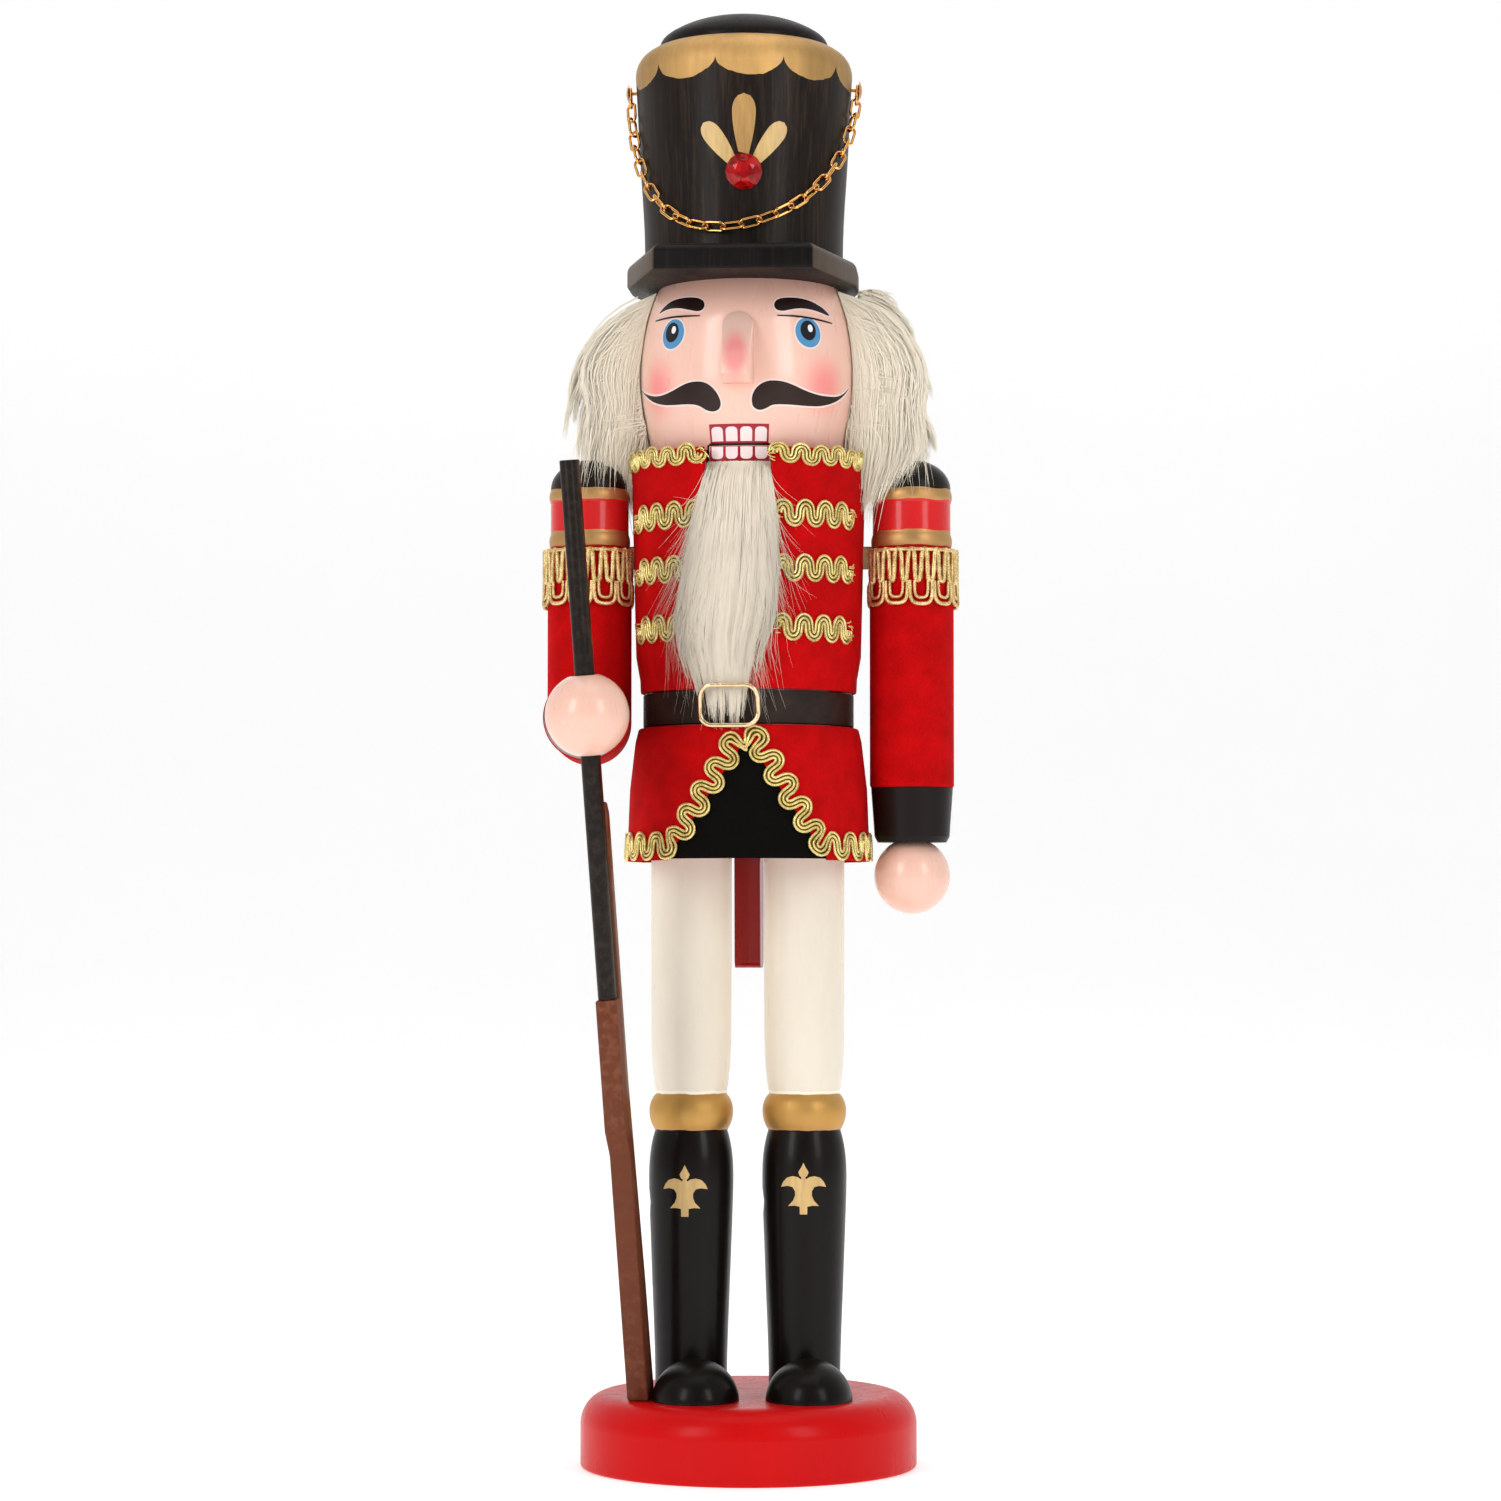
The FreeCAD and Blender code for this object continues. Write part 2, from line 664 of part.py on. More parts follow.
def rifle_bore():
    """The hole through the right hand for the barrel."""
    radius = math.hypot(BARREL_WIDTH / 2, BARREL_DEPTH / 2) + 0.15
    length = (RIFLE_MUZZLE - RIFLE_FOOT).Length
    return placed_as_rifle(Part.makeCylinder(radius, length, V(0, BARREL_DEPTH / 2, 0)))


def make_arms():
    shoulder = shoulder_dowels()
    hands = hand_dowels()
    shoulder_holes, hand_holes = holes_for(shoulder), holes_for(hands)
    felt_holes = holes_for(shoulder, 0.3)
    save("shoulder_dowels", *shoulder)
    save("hand_dowels", *hands)
    save("arm_left", arm_left().cut(shoulder_holes).cut(hand_holes))
    save("upper_arm_right", upper_arm_right().cut(shoulder_holes))
    save("forearm_right", forearm_right().cut(hand_holes))
    save("sleeve_left", sleeve_left().cut(felt_holes))
    save("sleeve_right", sleeve_right().cut(felt_holes))
    for side, x in ARM_X.items():
        save(f"epaulet_fringe_{side}", fringe(x))
    above_cuff = box((0, FAR), (-FAR, FAR), (CUFF_BOTTOM, FAR))
    behind_cuff = box((-FAR, 0), (FOREARM_FRONT, FAR), (0, FAR * 2))
    left = Part.makeSphere(HAND_LEFT_RADIUS, HAND_LEFT).cut(above_cuff)
    right = Part.makeSphere(HAND_RIGHT_RADIUS, HAND_RIGHT).cut(behind_cuff)
    save("hand_left", left.cut(hand_holes))
    save("hand_right", right.cut(hand_holes).cut(rifle_bore()))
    save("rifle_barrel", rifle_barrel())
    save("rifle_stock", rifle_stock())


# ---- Hat and its chain ----


def hat_crown():
    """One turning that widens upwards, with a rounded shoulder and a low dome."""
    return turned(
        [(26.0, BRIM_TOP), (26.2, 323), (27.2, 339), (27.9, 352), (28.4, 361.5)],
        [(28.4, 361.5), (28.3, 364.3), (27.0, 367), (24.5, 369), (22.3, 370)],
        [(22.3, 370), (21.6, 372.1), (18.9, 374.3), (11, 377.4), (0, HAT_TOP)],
    )


def hat_brim():
    """A board with a straight front, two long chamfers and a round back."""
    front = [(-30, 4), (-30, -8), (-20.5, -40), (20.5, -40), (30, -8), (30, 4)]
    corners = [V(x, y, 0) for x, y in front]
    edges = [Part.makeLine(a, b) for a, b in zip(corners, corners[1:])]
    edges.append(Part.Arc(corners[-1], V(0, 32, 0), corners[0]).toShape())
    plate = Part.Face(Part.Wire(edges)).extrude(V(0, 0, BRIM_TOP - HEAD_TOP))
    return plate.translated(V(0, 0, HEAD_TOP))


def on_hat(shape):
    """Moves a shape made about the Z axis to the hat's own axis and turn."""
    return turn(shape, HAT_TURN).translated(V(HAT_X, 0, 0))


def crown_radius(height):
    """The crown's radius on its tall side, where the chain and jewel are."""
    (foot_radius, foot), (top_radius, top) = (26.2, 323), (28.4, 361.5)
    if height <= foot:
        return foot_radius
    return foot_radius + (top_radius - foot_radius) * (height - foot) / (top - foot)


def hat_jewel():
    """A faceted stone: a girdle, eight sloping sides and a flat table."""
    height, girdle, table = 333.0, 4.7, 2.3
    sides = 8
    centre = V(0, -crown_radius(height) + 0.6, height)
    levels = [(girdle, 0.0), (girdle, 1.5), (table, 3.3)]
    rings = []
    for radius, out in levels:
        turns = [2 * math.pi * (i + 0.5) / sides for i in range(sides + 1)]
        rings.append(
            Part.makePolygon(
                [centre + V(radius * math.sin(t), -out, radius * math.cos(t)) for t in turns]
            )
        )
    return Part.makeLoft(rings, True, True)


def chain_posts(shank_only=False):
    """A dome-headed nail at each side of the crown."""
    posts = []
    surface = crown_radius(POST_Z)
    for sign in (-1, 1):
        out = V(sign, 0, 0)
        shank = Part.makeCylinder(
            POST_SHANK_RADIUS + (0.02 if shank_only else 0.0),
            POST_STANDOFF + 7.0,
            out * (surface - 6.5) + V(0, 0, POST_Z),
            out,
        )
        if shank_only:
            posts.append(shank)
            continue
        depth = POST_DOME_RADIUS - math.sqrt(POST_DOME_RADIUS**2 - POST_HEAD_RADIUS**2)
        back = surface + POST_STANDOFF
        middle = out * (back + depth - POST_DOME_RADIUS) + V(0, 0, POST_Z)
        dome = Part.makeSphere(POST_DOME_RADIUS, middle)
        cap = Part.makeCylinder(10, 20, out * back + V(0, 0, POST_Z), out)
        posts.append(shank.fuse(dome.common(cap)).removeSplitter())
    return posts


def chain_line():
    """The chain's middle line round the crown from one post to the other, finely stepped. Rolled out
    flat it is a catenary, with a little more of the chain on one side."""
    steps = 1000
    around = crown_radius(340) + CHAIN_STANDOFF
    fall = [
        CHAIN_SHAPE * (math.cosh(around * turned_by / CHAIN_SHAPE) - 1)
        for turned_by in (math.pi * (i / steps - 0.5) for i in range(steps + 1))
    ]
    line = []
    for i in range(steps + 1):
        azimuth = math.pi * (i / steps - 0.5)
        height = POST_Z - fall[0] + fall[i] + CHAIN_SWAY * math.sin(2 * azimuth)
        radius = crown_radius(height) + CHAIN_STANDOFF
        line.append(V(radius * math.sin(azimuth), -radius * math.cos(azimuth), height))
    return line


def oval_link(centre, along, outward, tilt):
    """A round-wire link, long in one direction and turned about it by a tilt."""
    bend = (LINK_WIDTH - LINK_WIRE) / 2
    half = (LINK_LENGTH - LINK_WIDTH) / 2
    path = Part.Wire(
        [
            Part.makeLine(V(-half, -bend, 0), V(half, -bend, 0)),
            Part.Arc(V(half, -bend, 0), V(half + bend, 0, 0), V(half, bend, 0)).toShape(),
            Part.makeLine(V(half, bend, 0), V(-half, bend, 0)),
            Part.Arc(V(-half, bend, 0), V(-half - bend, 0, 0), V(-half, -bend, 0)).toShape(),
        ]
    )
    section = Part.Wire(Part.makeCircle(LINK_WIRE / 2, V(-half, -bend, 0), V(1, 0, 0)))
    link = path.makePipeShell([section], True, True)
    side = FreeCAD.Rotation(along, tilt).multVec(outward)
    link.Placement = FreeCAD.Placement(
        centre, FreeCAD.Rotation(along, side, along.cross(side), "XYZ")
    )
    return link


def hat_chain():
    """Interlocked links. The end ones lie flat on the crown, each with a post through its far end."""
    line = chain_line()
    first = (LINK_LENGTH - LINK_WIDTH) / 2 + 0.1
    lengths = [0.0]
    for a, b in zip(line, line[1:]):
        lengths.append(lengths[-1] + a.distanceToPoint(b))
    span = lengths[-1] - 2 * first
    count = round(span / LINK_PITCH) + 1
    links = []
    for i in range(count):
        want = first + span * i / (count - 1)
        k = min(range(len(lengths)), key=lambda n: abs(lengths[n] - want))
        along = (line[min(k + 9, len(line) - 1)] - line[max(k - 9, 0)]).normalize()
        outward = V(line[k].x, line[k].y, 0)
        outward = (outward - along * outward.dot(along)).normalize()
        tilt = 90 if i in (0, count - 1) else 45 if i % 2 else -45
        links.append(oval_link(line[k], along, outward, tilt))
    return links


def make_hat():
    crown, brim = on_hat(hat_crown()), on_hat(hat_brim())
    peg = holes_for([hat_dowel()])
    nails = Part.makeCompound([on_hat(post) for post in chain_posts(shank_only=True)])
    save("hat_dowel", hat_dowel())
    save("hat_brim", brim.cut(peg))
    save("hat_crown", crown.cut(peg).cut(nails))
    save("hat_jewel", on_hat(turn(hat_jewel(), 4.0)).cut(crown))
    save("chain_posts", *[on_hat(post) for post in chain_posts()])
    save("hat_chain", *[on_hat(link) for link in hat_chain()])


os.makedirs("parts", exist_ok=True)
leg_holes = make_stand()
make_body(leg_holes)
make_coat()
make_arms()
make_hat()
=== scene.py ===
import math
import random

import bmesh
import bpy
import numpy as np
from mathutils import Matrix, Vector
from mathutils.geometry import delaunay_2d_cdt


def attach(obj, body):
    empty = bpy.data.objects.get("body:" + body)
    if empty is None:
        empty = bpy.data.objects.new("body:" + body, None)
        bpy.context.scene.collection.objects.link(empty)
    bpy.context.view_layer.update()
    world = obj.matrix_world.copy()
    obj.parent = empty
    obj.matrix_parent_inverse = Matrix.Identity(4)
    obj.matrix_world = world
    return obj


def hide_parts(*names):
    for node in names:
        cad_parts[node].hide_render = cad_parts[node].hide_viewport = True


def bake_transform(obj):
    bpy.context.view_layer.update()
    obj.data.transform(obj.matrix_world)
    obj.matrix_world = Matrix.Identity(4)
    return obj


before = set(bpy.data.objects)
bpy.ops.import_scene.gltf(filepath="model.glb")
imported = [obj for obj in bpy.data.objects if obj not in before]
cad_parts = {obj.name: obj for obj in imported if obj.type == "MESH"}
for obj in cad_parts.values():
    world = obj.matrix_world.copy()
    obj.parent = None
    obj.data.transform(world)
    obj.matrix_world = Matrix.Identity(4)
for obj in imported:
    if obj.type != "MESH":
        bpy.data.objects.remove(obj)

# Looks of a wooden nutcracker soldier. Lengths are in millimetres and MM takes them to metres. Left and
# right are the figure's own: its right is -X. A name that ends in TURN is an azimuth that a part faces.
# An azimuth is 0 at the front, -Y, and grows towards +X. "Around" is a distance along a surface
# of revolution, so (around, height) is a point of a surface that is rolled out flat.

MM = 0.001
UP = Vector((0, 0, 1))
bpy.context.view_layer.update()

BODY_TURN = -5.5
HAT_TURN = -4.0
JEWEL_TURN = HAT_TURN + 4.0
BUCKLE_TURN = -9.5
SKIRT_TURN = -1.0
HAT_X = -1.2
ARM_RIGHT_X, ARM_LEFT_X = -41.6, 42.7
FELT = 1.2
SLIT_HALF = 4.4
NECK = 261.9
LEVER_X = -3.0
CHEST = [(28.2, 200.2), (28.3, 203.5), (29.4, 209.5), (30.7, 262.0), (30.72, 264.0)]
SKIRT = [(31.7, 156.5), (31.0, 175.0), (29.4, 189.0), (28.6, 191.2)]
HEAD = [(24.8, 261.5), (26.3, 268), (27.8, 276), (28.3, 283), (27.6, 292), (25.9, 300), (23.6, 306)]
CROWN = [(26.0, 312.7), (26.2, 323), (27.2, 339), (27.9, 352), (28.4, 361.5)]
BOOT = [(9.6, 35), (10.0, 45), (10.4, 56), (10.9, 70), (10.5, 82), (9.4, 86.8)]


# ---- Curves and meshes ----


def smooth_profile(points):
    """The radius at a height, as a function, on a smooth curve through (radius, height) points."""
    z = np.array([p[1] for p in points], float)
    r = np.array([p[0] for p in points], float)
    n = len(z)
    h = np.diff(z)
    a = np.zeros((n, n))
    b = np.zeros(n)
    a[0, 0] = a[-1, -1] = 1
    for i in range(1, n - 1):
        a[i, i - 1 : i + 2] = h[i - 1], 2 * (h[i - 1] + h[i]), h[i]
        b[i] = 6 * ((r[i + 1] - r[i]) / h[i] - (r[i] - r[i - 1]) / h[i - 1])
    m = np.linalg.solve(a, b)

    def radius(height):
        height = min(max(height, z[0]), z[-1])
        i = int(min(max(np.searchsorted(z, height) - 1, 0), n - 2))
        t, u = z[i + 1] - height, height - z[i]
        return (
            (m[i] * t**3 + m[i + 1] * u**3) / (6 * h[i])
            + (r[i] / h[i] - m[i] * h[i] / 6) * t
            + (r[i + 1] / h[i] - m[i + 1] * h[i] / 6) * u
        )

    return radius


def straight_profile(points):
    """The radius at a height, as a function, on straight lines through (radius, height) points."""
    z = [p[1] for p in points]
    r = [p[0] for p in points]
    return lambda height: float(np.interp(height, z, r))


def round_surface(profile, turn=0.0, at=(0.0, 0.0), unit=27.5):
    """A map from (around, height, lift) to a point of a surface of revolution. `unit` is the radius that
    turns a distance around into an angle."""

    def point(around, height, lift):
        azimuth = around / unit + math.radians(turn)
        r = profile(height) + lift
        return Vector((at[0] + r * math.sin(azimuth), at[1] - r * math.cos(azimuth), height)) * MM

    return point


def facing_axes(azimuth):
    """The horizontal directions out of and across a surface that faces an azimuth in degrees."""
    angle = math.radians(azimuth)
    return Vector((math.sin(angle), -math.cos(angle), 0)), Vector((math.cos(angle), math.sin(angle), 0))


def mesh_object(name, verts, faces, material, smooth_angle=50.0):
    mesh = bpy.data.meshes.new(name)
    mesh.from_pydata([tuple(v) for v in verts], [], [tuple(f) for f in faces])
    mesh.validate()
    mesh.update()
    return finish_mesh(name, mesh, material, smooth_angle)


def finish_mesh(name, mesh, material, smooth_angle=50.0):
    bm = bmesh.new()
    bm.from_mesh(mesh)
    bmesh.ops.recalc_face_normals(bm, faces=bm.faces)
    bm.to_mesh(mesh)
    bm.free()
    mesh.shade_smooth()
    mesh.set_sharp_from_angle(angle=math.radians(smooth_angle))
    mesh.materials.append(material)
    obj = bpy.data.objects.new(name, mesh)
    bpy.context.collection.objects.link(obj)
    return obj


def resampled(points, step, closed=True):
    """The outline with points at most a step apart."""
    result = []
    ends = points[1:] + points[:1] if closed else points[1:]
    for a, b in zip(points, ends):
        parts = max(1, math.ceil(math.dist(a, b) / step))
        for i in range(parts):
            result.append((a[0] + (b[0] - a[0]) * i / parts, a[1] + (b[1] - a[1]) * i / parts))
    if not closed:
        result.append(tuple(points[-1]))
    return result


def rounded_outline(points, passes=2, closed=True):
    """The outline with its corners cut, again and again, until it is a curve."""
    for _ in range(passes):
        cut = [] if closed else [points[0]]
        ends = points[1:] + points[:1] if closed else points[1:]
        for a, b in zip(points, ends):
            cut.append((0.75 * a[0] + 0.25 * b[0], 0.75 * a[1] + 0.25 * b[1]))
            cut.append((0.25 * a[0] + 0.75 * b[0], 0.25 * a[1] + 0.75 * b[1]))
        if not closed:
            cut.append(points[-1])
        points = cut
    return points


def outline_area(points):
    return sum(a[0] * b[1] - b[0] * a[1] for a, b in zip(points, points[1:] + points[:1])) / 2


def offset_outline(points, distance):
    """The outline moved outwards by a distance, or inwards by a negative one."""
    sign = 1 if outline_area(points) > 0 else -1
    result = []
    n = len(points)
    for i in range(n):
        before, here, after = Vector(points[i - 1]), Vector(points[i]), Vector(points[(i + 1) % n])
        d1, d2 = (here - before).normalized(), (after - here).normalized()
        normal = Vector((d1.y + d2.y, -d1.x - d2.x)) * sign
        if normal.length < 1e-6:
            normal = Vector((d1.y, -d1.x)) * sign
        normal.normalize()
        straight = max(0.6, normal.dot(Vector((d1.y, -d1.x)) * sign))
        moved = here + normal * (distance / straight)
        result.append((moved.x, moved.y))
    return result


def patch(name, outline, surface, material, top, bottom, edge=0.0, grid=2.0, step=1.0):
    """A closed thin shell: an outline of (around, height) points laid on a surface, from one lift above
    it to another, with its top edge rounded by `edge`."""
    outer = resampled(outline, step)
    if outline_area(outer) < 0:
        outer = outer[::-1]
    rings = [(outer, top - 0.5 * edge)]
    if edge:
        rings.append((offset_outline(outer, -0.35 * edge), top - 0.15 * edge))
        rings.append((offset_outline(outer, -edge), top))
    inner = rings[-1][0]
    xs, ys = [p[0] for p in inner], [p[1] for p in inner]
    points = [Vector(p) for p in inner]
    edges = [(i, (i + 1) % len(inner)) for i in range(len(inner))]
    nx, ny = (max(1, int((max(v) - min(v)) / grid)) for v in (xs, ys))
    for i in range(1, nx):
        for j in range(1, ny):
            x = min(xs) + (max(xs) - min(xs)) * (i + 0.25 * (j % 2)) / nx
            y = min(ys) + (max(ys) - min(ys)) * j / ny
            points.append(Vector((x, y)))
    flat, _, faces, _, _, _ = delaunay_2d_cdt(points, edges, [list(range(len(inner)))], 1, 1e-5)
    verts = [surface(p.x, p.y, top) for p in flat]
    under = len(verts)
    verts += [surface(p.x, p.y, bottom) for p in flat]
    all_faces = [tuple(f) for f in faces]
    all_faces += [tuple(under + i for i in reversed(f)) for f in faces]
    count = {}
    for f in faces:
        for a, b in zip(f, f[1:] + f[:1]):
            count[(a, b)] = count.get((a, b), 0) + 1
    border = [(a, b) for a, b in count if (b, a) not in count]
    if not edge:
        for a, b in border:
            all_faces.append((b, a, under + a, under + b))
        return mesh_object(name, verts, all_faces, material)
    # Where the flat part's border follows the inner ring, skirts run out to the outer ring and down.
    lookup = {(round(p[0], 4), round(p[1], 4)): i for i, p in enumerate(inner)}
    n = len(inner)
    base = len(verts)
    for ring, lift in (rings[1], rings[0], (outer, bottom + 0.3 * edge)):
        verts += [surface(p[0], p[1], lift) for p in ring]
    for a, b in border:
        i = lookup.get((round(flat[a].x, 4), round(flat[a].y, 4)))
        j = lookup.get((round(flat[b].x, 4), round(flat[b].y, 4)))
        if i is None or j is None:
            all_faces.append((b, a, under + a, under + b))
            continue
        all_faces.append((b, a, base + i, base + j))
        all_faces.append((base + j, base + i, base + n + i, base + n + j))
        all_faces.append((base + n + j, base + n + i, base + 2 * n + i, base + 2 * n + j))
        all_faces.append((base + 2 * n + j, base + 2 * n + i, under + a, under + b))
    return mesh_object(name, verts, all_faces, material)


def tubes(lines, radii, sides=5, closed=False, caps=True):
    """Vertices and faces of round tubes along lines. A radius is one number, or one for each point."""
    verts, faces = [], []
    angles = [2 * math.pi * k / sides for k in range(sides)]
    for line, radius in zip(lines, radii):
        n = len(line)
        side = None
        base = len(verts)
        for i in range(n):
            if closed:
                along = line[(i + 1) % n] - line[i - 1]
            else:
                along = line[min(i + 1, n - 1)] - line[max(i - 1, 0)]
            if along.length < 1e-9:
                along = Vector((0, 0, 1))
            along.normalize()
            if side is None:
                side = along.orthogonal().normalized()
            side = side - along * side.dot(along)
            side.normalize()
            up = along.cross(side)
            r = radius[i] if hasattr(radius, "__len__") else radius
            for t in angles:
                verts.append(line[i] + (side * math.cos(t) + up * math.sin(t)) * r)
        for i in range(n if closed else n - 1):
            a, b = base + i * sides, base + ((i + 1) % n) * sides
            for k in range(sides):
                m = (k + 1) % sides
                faces.append((a + k, a + m, b + m, b + k))
        if caps and not closed:
            faces.append(tuple(base + k for k in reversed(range(sides))))
            faces.append(tuple(base + (n - 1) * sides + k for k in range(sides)))
    return verts, faces


def tube_object(name, lines, radii, material, sides=5, closed=False):
    verts, faces = tubes(lines, radii, sides, closed)
    return mesh_object(name, verts, faces, material, 60.0)


SHARP = math.radians(30)


def cad_copy(name, node, material, bevels=(), smooth_angle=35.0):
    """A copy of a CAD node's mesh with its sharp edges softened. A bevel is (width, steps, edge test)."""
    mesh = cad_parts[node].data.copy()
    mesh.materials.clear()
    bm = bmesh.new()
    bm.from_mesh(mesh)
    bmesh.ops.remove_doubles(bm, verts=bm.verts, dist=1e-6)
    bmesh.ops.dissolve_limit(bm, angle_limit=math.radians(1.0), verts=bm.verts, edges=bm.edges)
    for width, steps, test in bevels:
        sharp = [e for e in bm.edges if e.is_manifold and e.calc_face_angle() > SHARP]
        edges = [e for e in sharp if test(e)]
        bmesh.ops.bevel(
            bm, geom=edges, offset=width * MM, offset_type="OFFSET", segments=steps, profile=0.5,
            affect="EDGES", clamp_overlap=True,
        )
    bm.to_mesh(mesh)
    bm.free()
    mesh.name = name
    return finish_mesh(name, mesh, material, smooth_angle)


# ---- Materials ----


class Paint:
    """A node material that is put together a node at a time."""

    def __init__(self, name):
        self.material = bpy.data.materials.new(name)
        self.material.use_nodes = True
        self.tree = self.material.node_tree
        self.shader = self.tree.nodes["Principled BSDF"]
        self.place = self.add("TexCoord").outputs["Object"]

    def add(self, kind, inputs=None, **settings):
        node = self.tree.nodes.new("ShaderNode" + kind)
        for key, value in settings.items():
            setattr(node, key, value)
        for key, value in (inputs or {}).items():
            self.put(node.inputs[key], value)
        return node

    def put(self, socket, value):
        if isinstance(value, bpy.types.NodeSocket):
            self.tree.links.new(value, socket)
        elif isinstance(value, tuple) and len(value) == 3 and socket.type == "RGBA":
            socket.default_value = (*value, 1.0)
        else:
            socket.default_value = value

    def set(self, **values):
        for key, value in values.items():
            self.put(self.shader.inputs[key.replace("_", " ")], value)

    def maths(self, operation, a, b=0.0, c=0.0):
        return self.add("Math", {0: a, 1: b, 2: c}, operation=operation).outputs[0]

    def scaled(self, factors):
        """Object coordinates with each axis multiplied."""
        return self.add("Mapping", {"Vector": self.place, "Scale": factors}).outputs[0]

    def noise(self, scale, detail=3.0, rough=0.55, stretch=(1, 1, 1)):
        factors = tuple(scale * s for s in stretch)
        inputs = {"Vector": self.scaled(factors), "Scale": 1.0, "Detail": detail, "Roughness": rough}
        return self.add("TexNoise", inputs).outputs["Fac"]

    def ramp(self, value, stops, interpolation="LINEAR"):
        """A colour, or a grey for a number, for each stop's place from 0 to 1."""
        node = self.add("ValToRGB", {"Fac": value})
        node.color_ramp.interpolation = interpolation
        elements = node.color_ramp.elements
        while len(elements) > 1:
            elements.remove(elements[-1])
        for i, (place, colour) in enumerate(stops):
            colour = colour if isinstance(colour, tuple) else (colour,) * 3
            element = elements[0] if i == 0 else elements.new(place)
            element.position = place
            element.color = (*colour, 1.0)
        return node.outputs["Color"]

    def mix(self, factor, a, b, blend="MIX"):
        node = self.add("Mix", data_type="RGBA", blend_type=blend)
        self.put(node.inputs["Factor"], factor)
        colours = [s for s in node.inputs if s.type == "RGBA"]
        self.put(colours[0], a)
        self.put(colours[1], b)
        return [s for s in node.outputs if s.type == "RGBA"][0]

    def span(self, value, low, high, to_low=0.0, to_high=1.0):
        inputs = {"Value": value, "From Min": low, "From Max": high, "To Min": to_low, "To Max": to_high}
        return self.add("MapRange", inputs).outputs[0]

    def spread(self, noise, to_low, to_high):
        """A noise, most of which lies from 0.3 to 0.7, taken to another range."""
        return self.span(noise, 0.3, 0.7, to_low, to_high)

    def uneven(self, low, high, scale=250.0, stretch=(1, 1, 0.2)):
        """A number that drifts from place to place between two values."""
        return self.spread(self.noise(scale, 4.0, 0.6, stretch), low, high)

    def times(self, colour, factor):
        return self.add("VectorMath", {0: colour, 1: factor}, operation="MULTIPLY").outputs[0]

    def bump(self, height, strength, distance):
        inputs = {"Height": height, "Strength": strength, "Distance": distance * MM}
        self.put(self.shader.inputs["Normal"], self.add("Bump", inputs).outputs["Normal"])

    def brushed(self, strength):
        """Faint upright grooves, as a brush leaves in paint."""
        self.bump(self.noise(900.0, 3.0, 0.6, (1, 1, 0.06)), strength, 0.05)

    def axes(self):
        return self.add("SeparateXYZ", {"Vector": self.place}).outputs

    def millimetres(self, axis):
        return self.maths("MULTIPLY", self.axes()[axis], 1 / MM)

    def azimuth(self, turn=0.0, at=(0.0, 0.0)):
        """The angle around a vertical axis, in degrees from the front."""
        axes = self.axes()
        x = self.maths("SUBTRACT", axes["X"], at[0] * MM)
        y = self.maths("SUBTRACT", axes["Y"], at[1] * MM)
        angle = self.maths("ARCTAN2", x, self.maths("MULTIPLY", y, -1.0))
        return self.maths("SUBTRACT", self.maths("MULTIPLY", angle, 180 / math.pi), turn)


def srgb(r, g, b):
    """The linear colour of a display colour of 0 to 255."""
    shares = (c / 255 for c in (r, g, b))
    return tuple(c / 12.92 if c < 0.04045 else ((c + 0.055) / 1.055) ** 2.4 for c in shares)


def varied(paint, colour, amount, scale=60.0, stretch=(1, 1, 1)):
    """The colour made a little lighter and darker from place to place."""
    return paint.times(colour, paint.uneven(1 - amount, 1 + amount, scale, stretch))


def gloss(name, colour, rough=0.3, coat=0.5, variation=0.04, grain=0.25, wear=None, specular=0.4):
    """Painted wood: brushed-on colour over a faint upright grain, with a clear coat. `wear` is the colour of
    the worn edges."""
    paint = Paint(name)
    colour = varied(paint, colour, variation, 45.0, (1, 1, 0.25))
    if wear:
        edges = paint.add("NewGeometry").outputs["Pointiness"]
        patches = paint.span(paint.noise(500.0, 5.0), 0.45, 0.65)
        worn = paint.maths("MULTIPLY", paint.span(edges, 0.53, 0.6), patches)
        colour = paint.mix(worn, colour, wear)
    paint.set(
        Base_Color=colour,
        Roughness=paint.uneven(rough * 0.8, rough * 1.25),
        Coat_Weight=coat,
        Coat_Roughness=0.1,
        Specular_IOR_Level=specular,
    )
    paint.brushed(grain)
    return paint.material


GOLD_PAINT = srgb(202, 156, 86)
RING_GOLD = srgb(196, 152, 98)
BOOT_BLACK = srgb(16, 11, 8)


def banded(name, stops, waver=0.25, grain=0.25):
    """Painted rings on a turning. A stop is (bottom height, colour, metallic, roughness, coat), and the
    edges between the rings waver as a brush's do."""
    paint = Paint(name)
    z = paint.millimetres("Z")
    wave = paint.span(paint.noise(180.0, 2.0, 0.5, (1, 1, 0.0)), 0.25, 0.75, -waver, waver)
    z = paint.maths("ADD", z, wave)
    low, high = stops[0][0] - 1.0, stops[-1][0] + 1.0
    place = paint.span(z, low, high)
    shares = [max(0.0, (stop[0] - low) / (high - low)) for stop in stops]
    colour, metallic, rough, coat = (
        paint.ramp(place, [(share, stop[pick]) for share, stop in zip(shares, stops)], "CONSTANT")
        for pick in (1, 2, 3, 4)
    )
    paint.set(
        Base_Color=varied(paint, colour, 0.05, 70.0, (1, 1, 0.3)),
        Metallic=metallic,
        Roughness=paint.maths("MULTIPLY", rough, paint.uneven(0.8, 1.25)),
        Coat_Weight=coat,
        Coat_Roughness=0.1,
        Specular_IOR_Level=0.15,
    )
    paint.brushed(grain)
    return paint.material


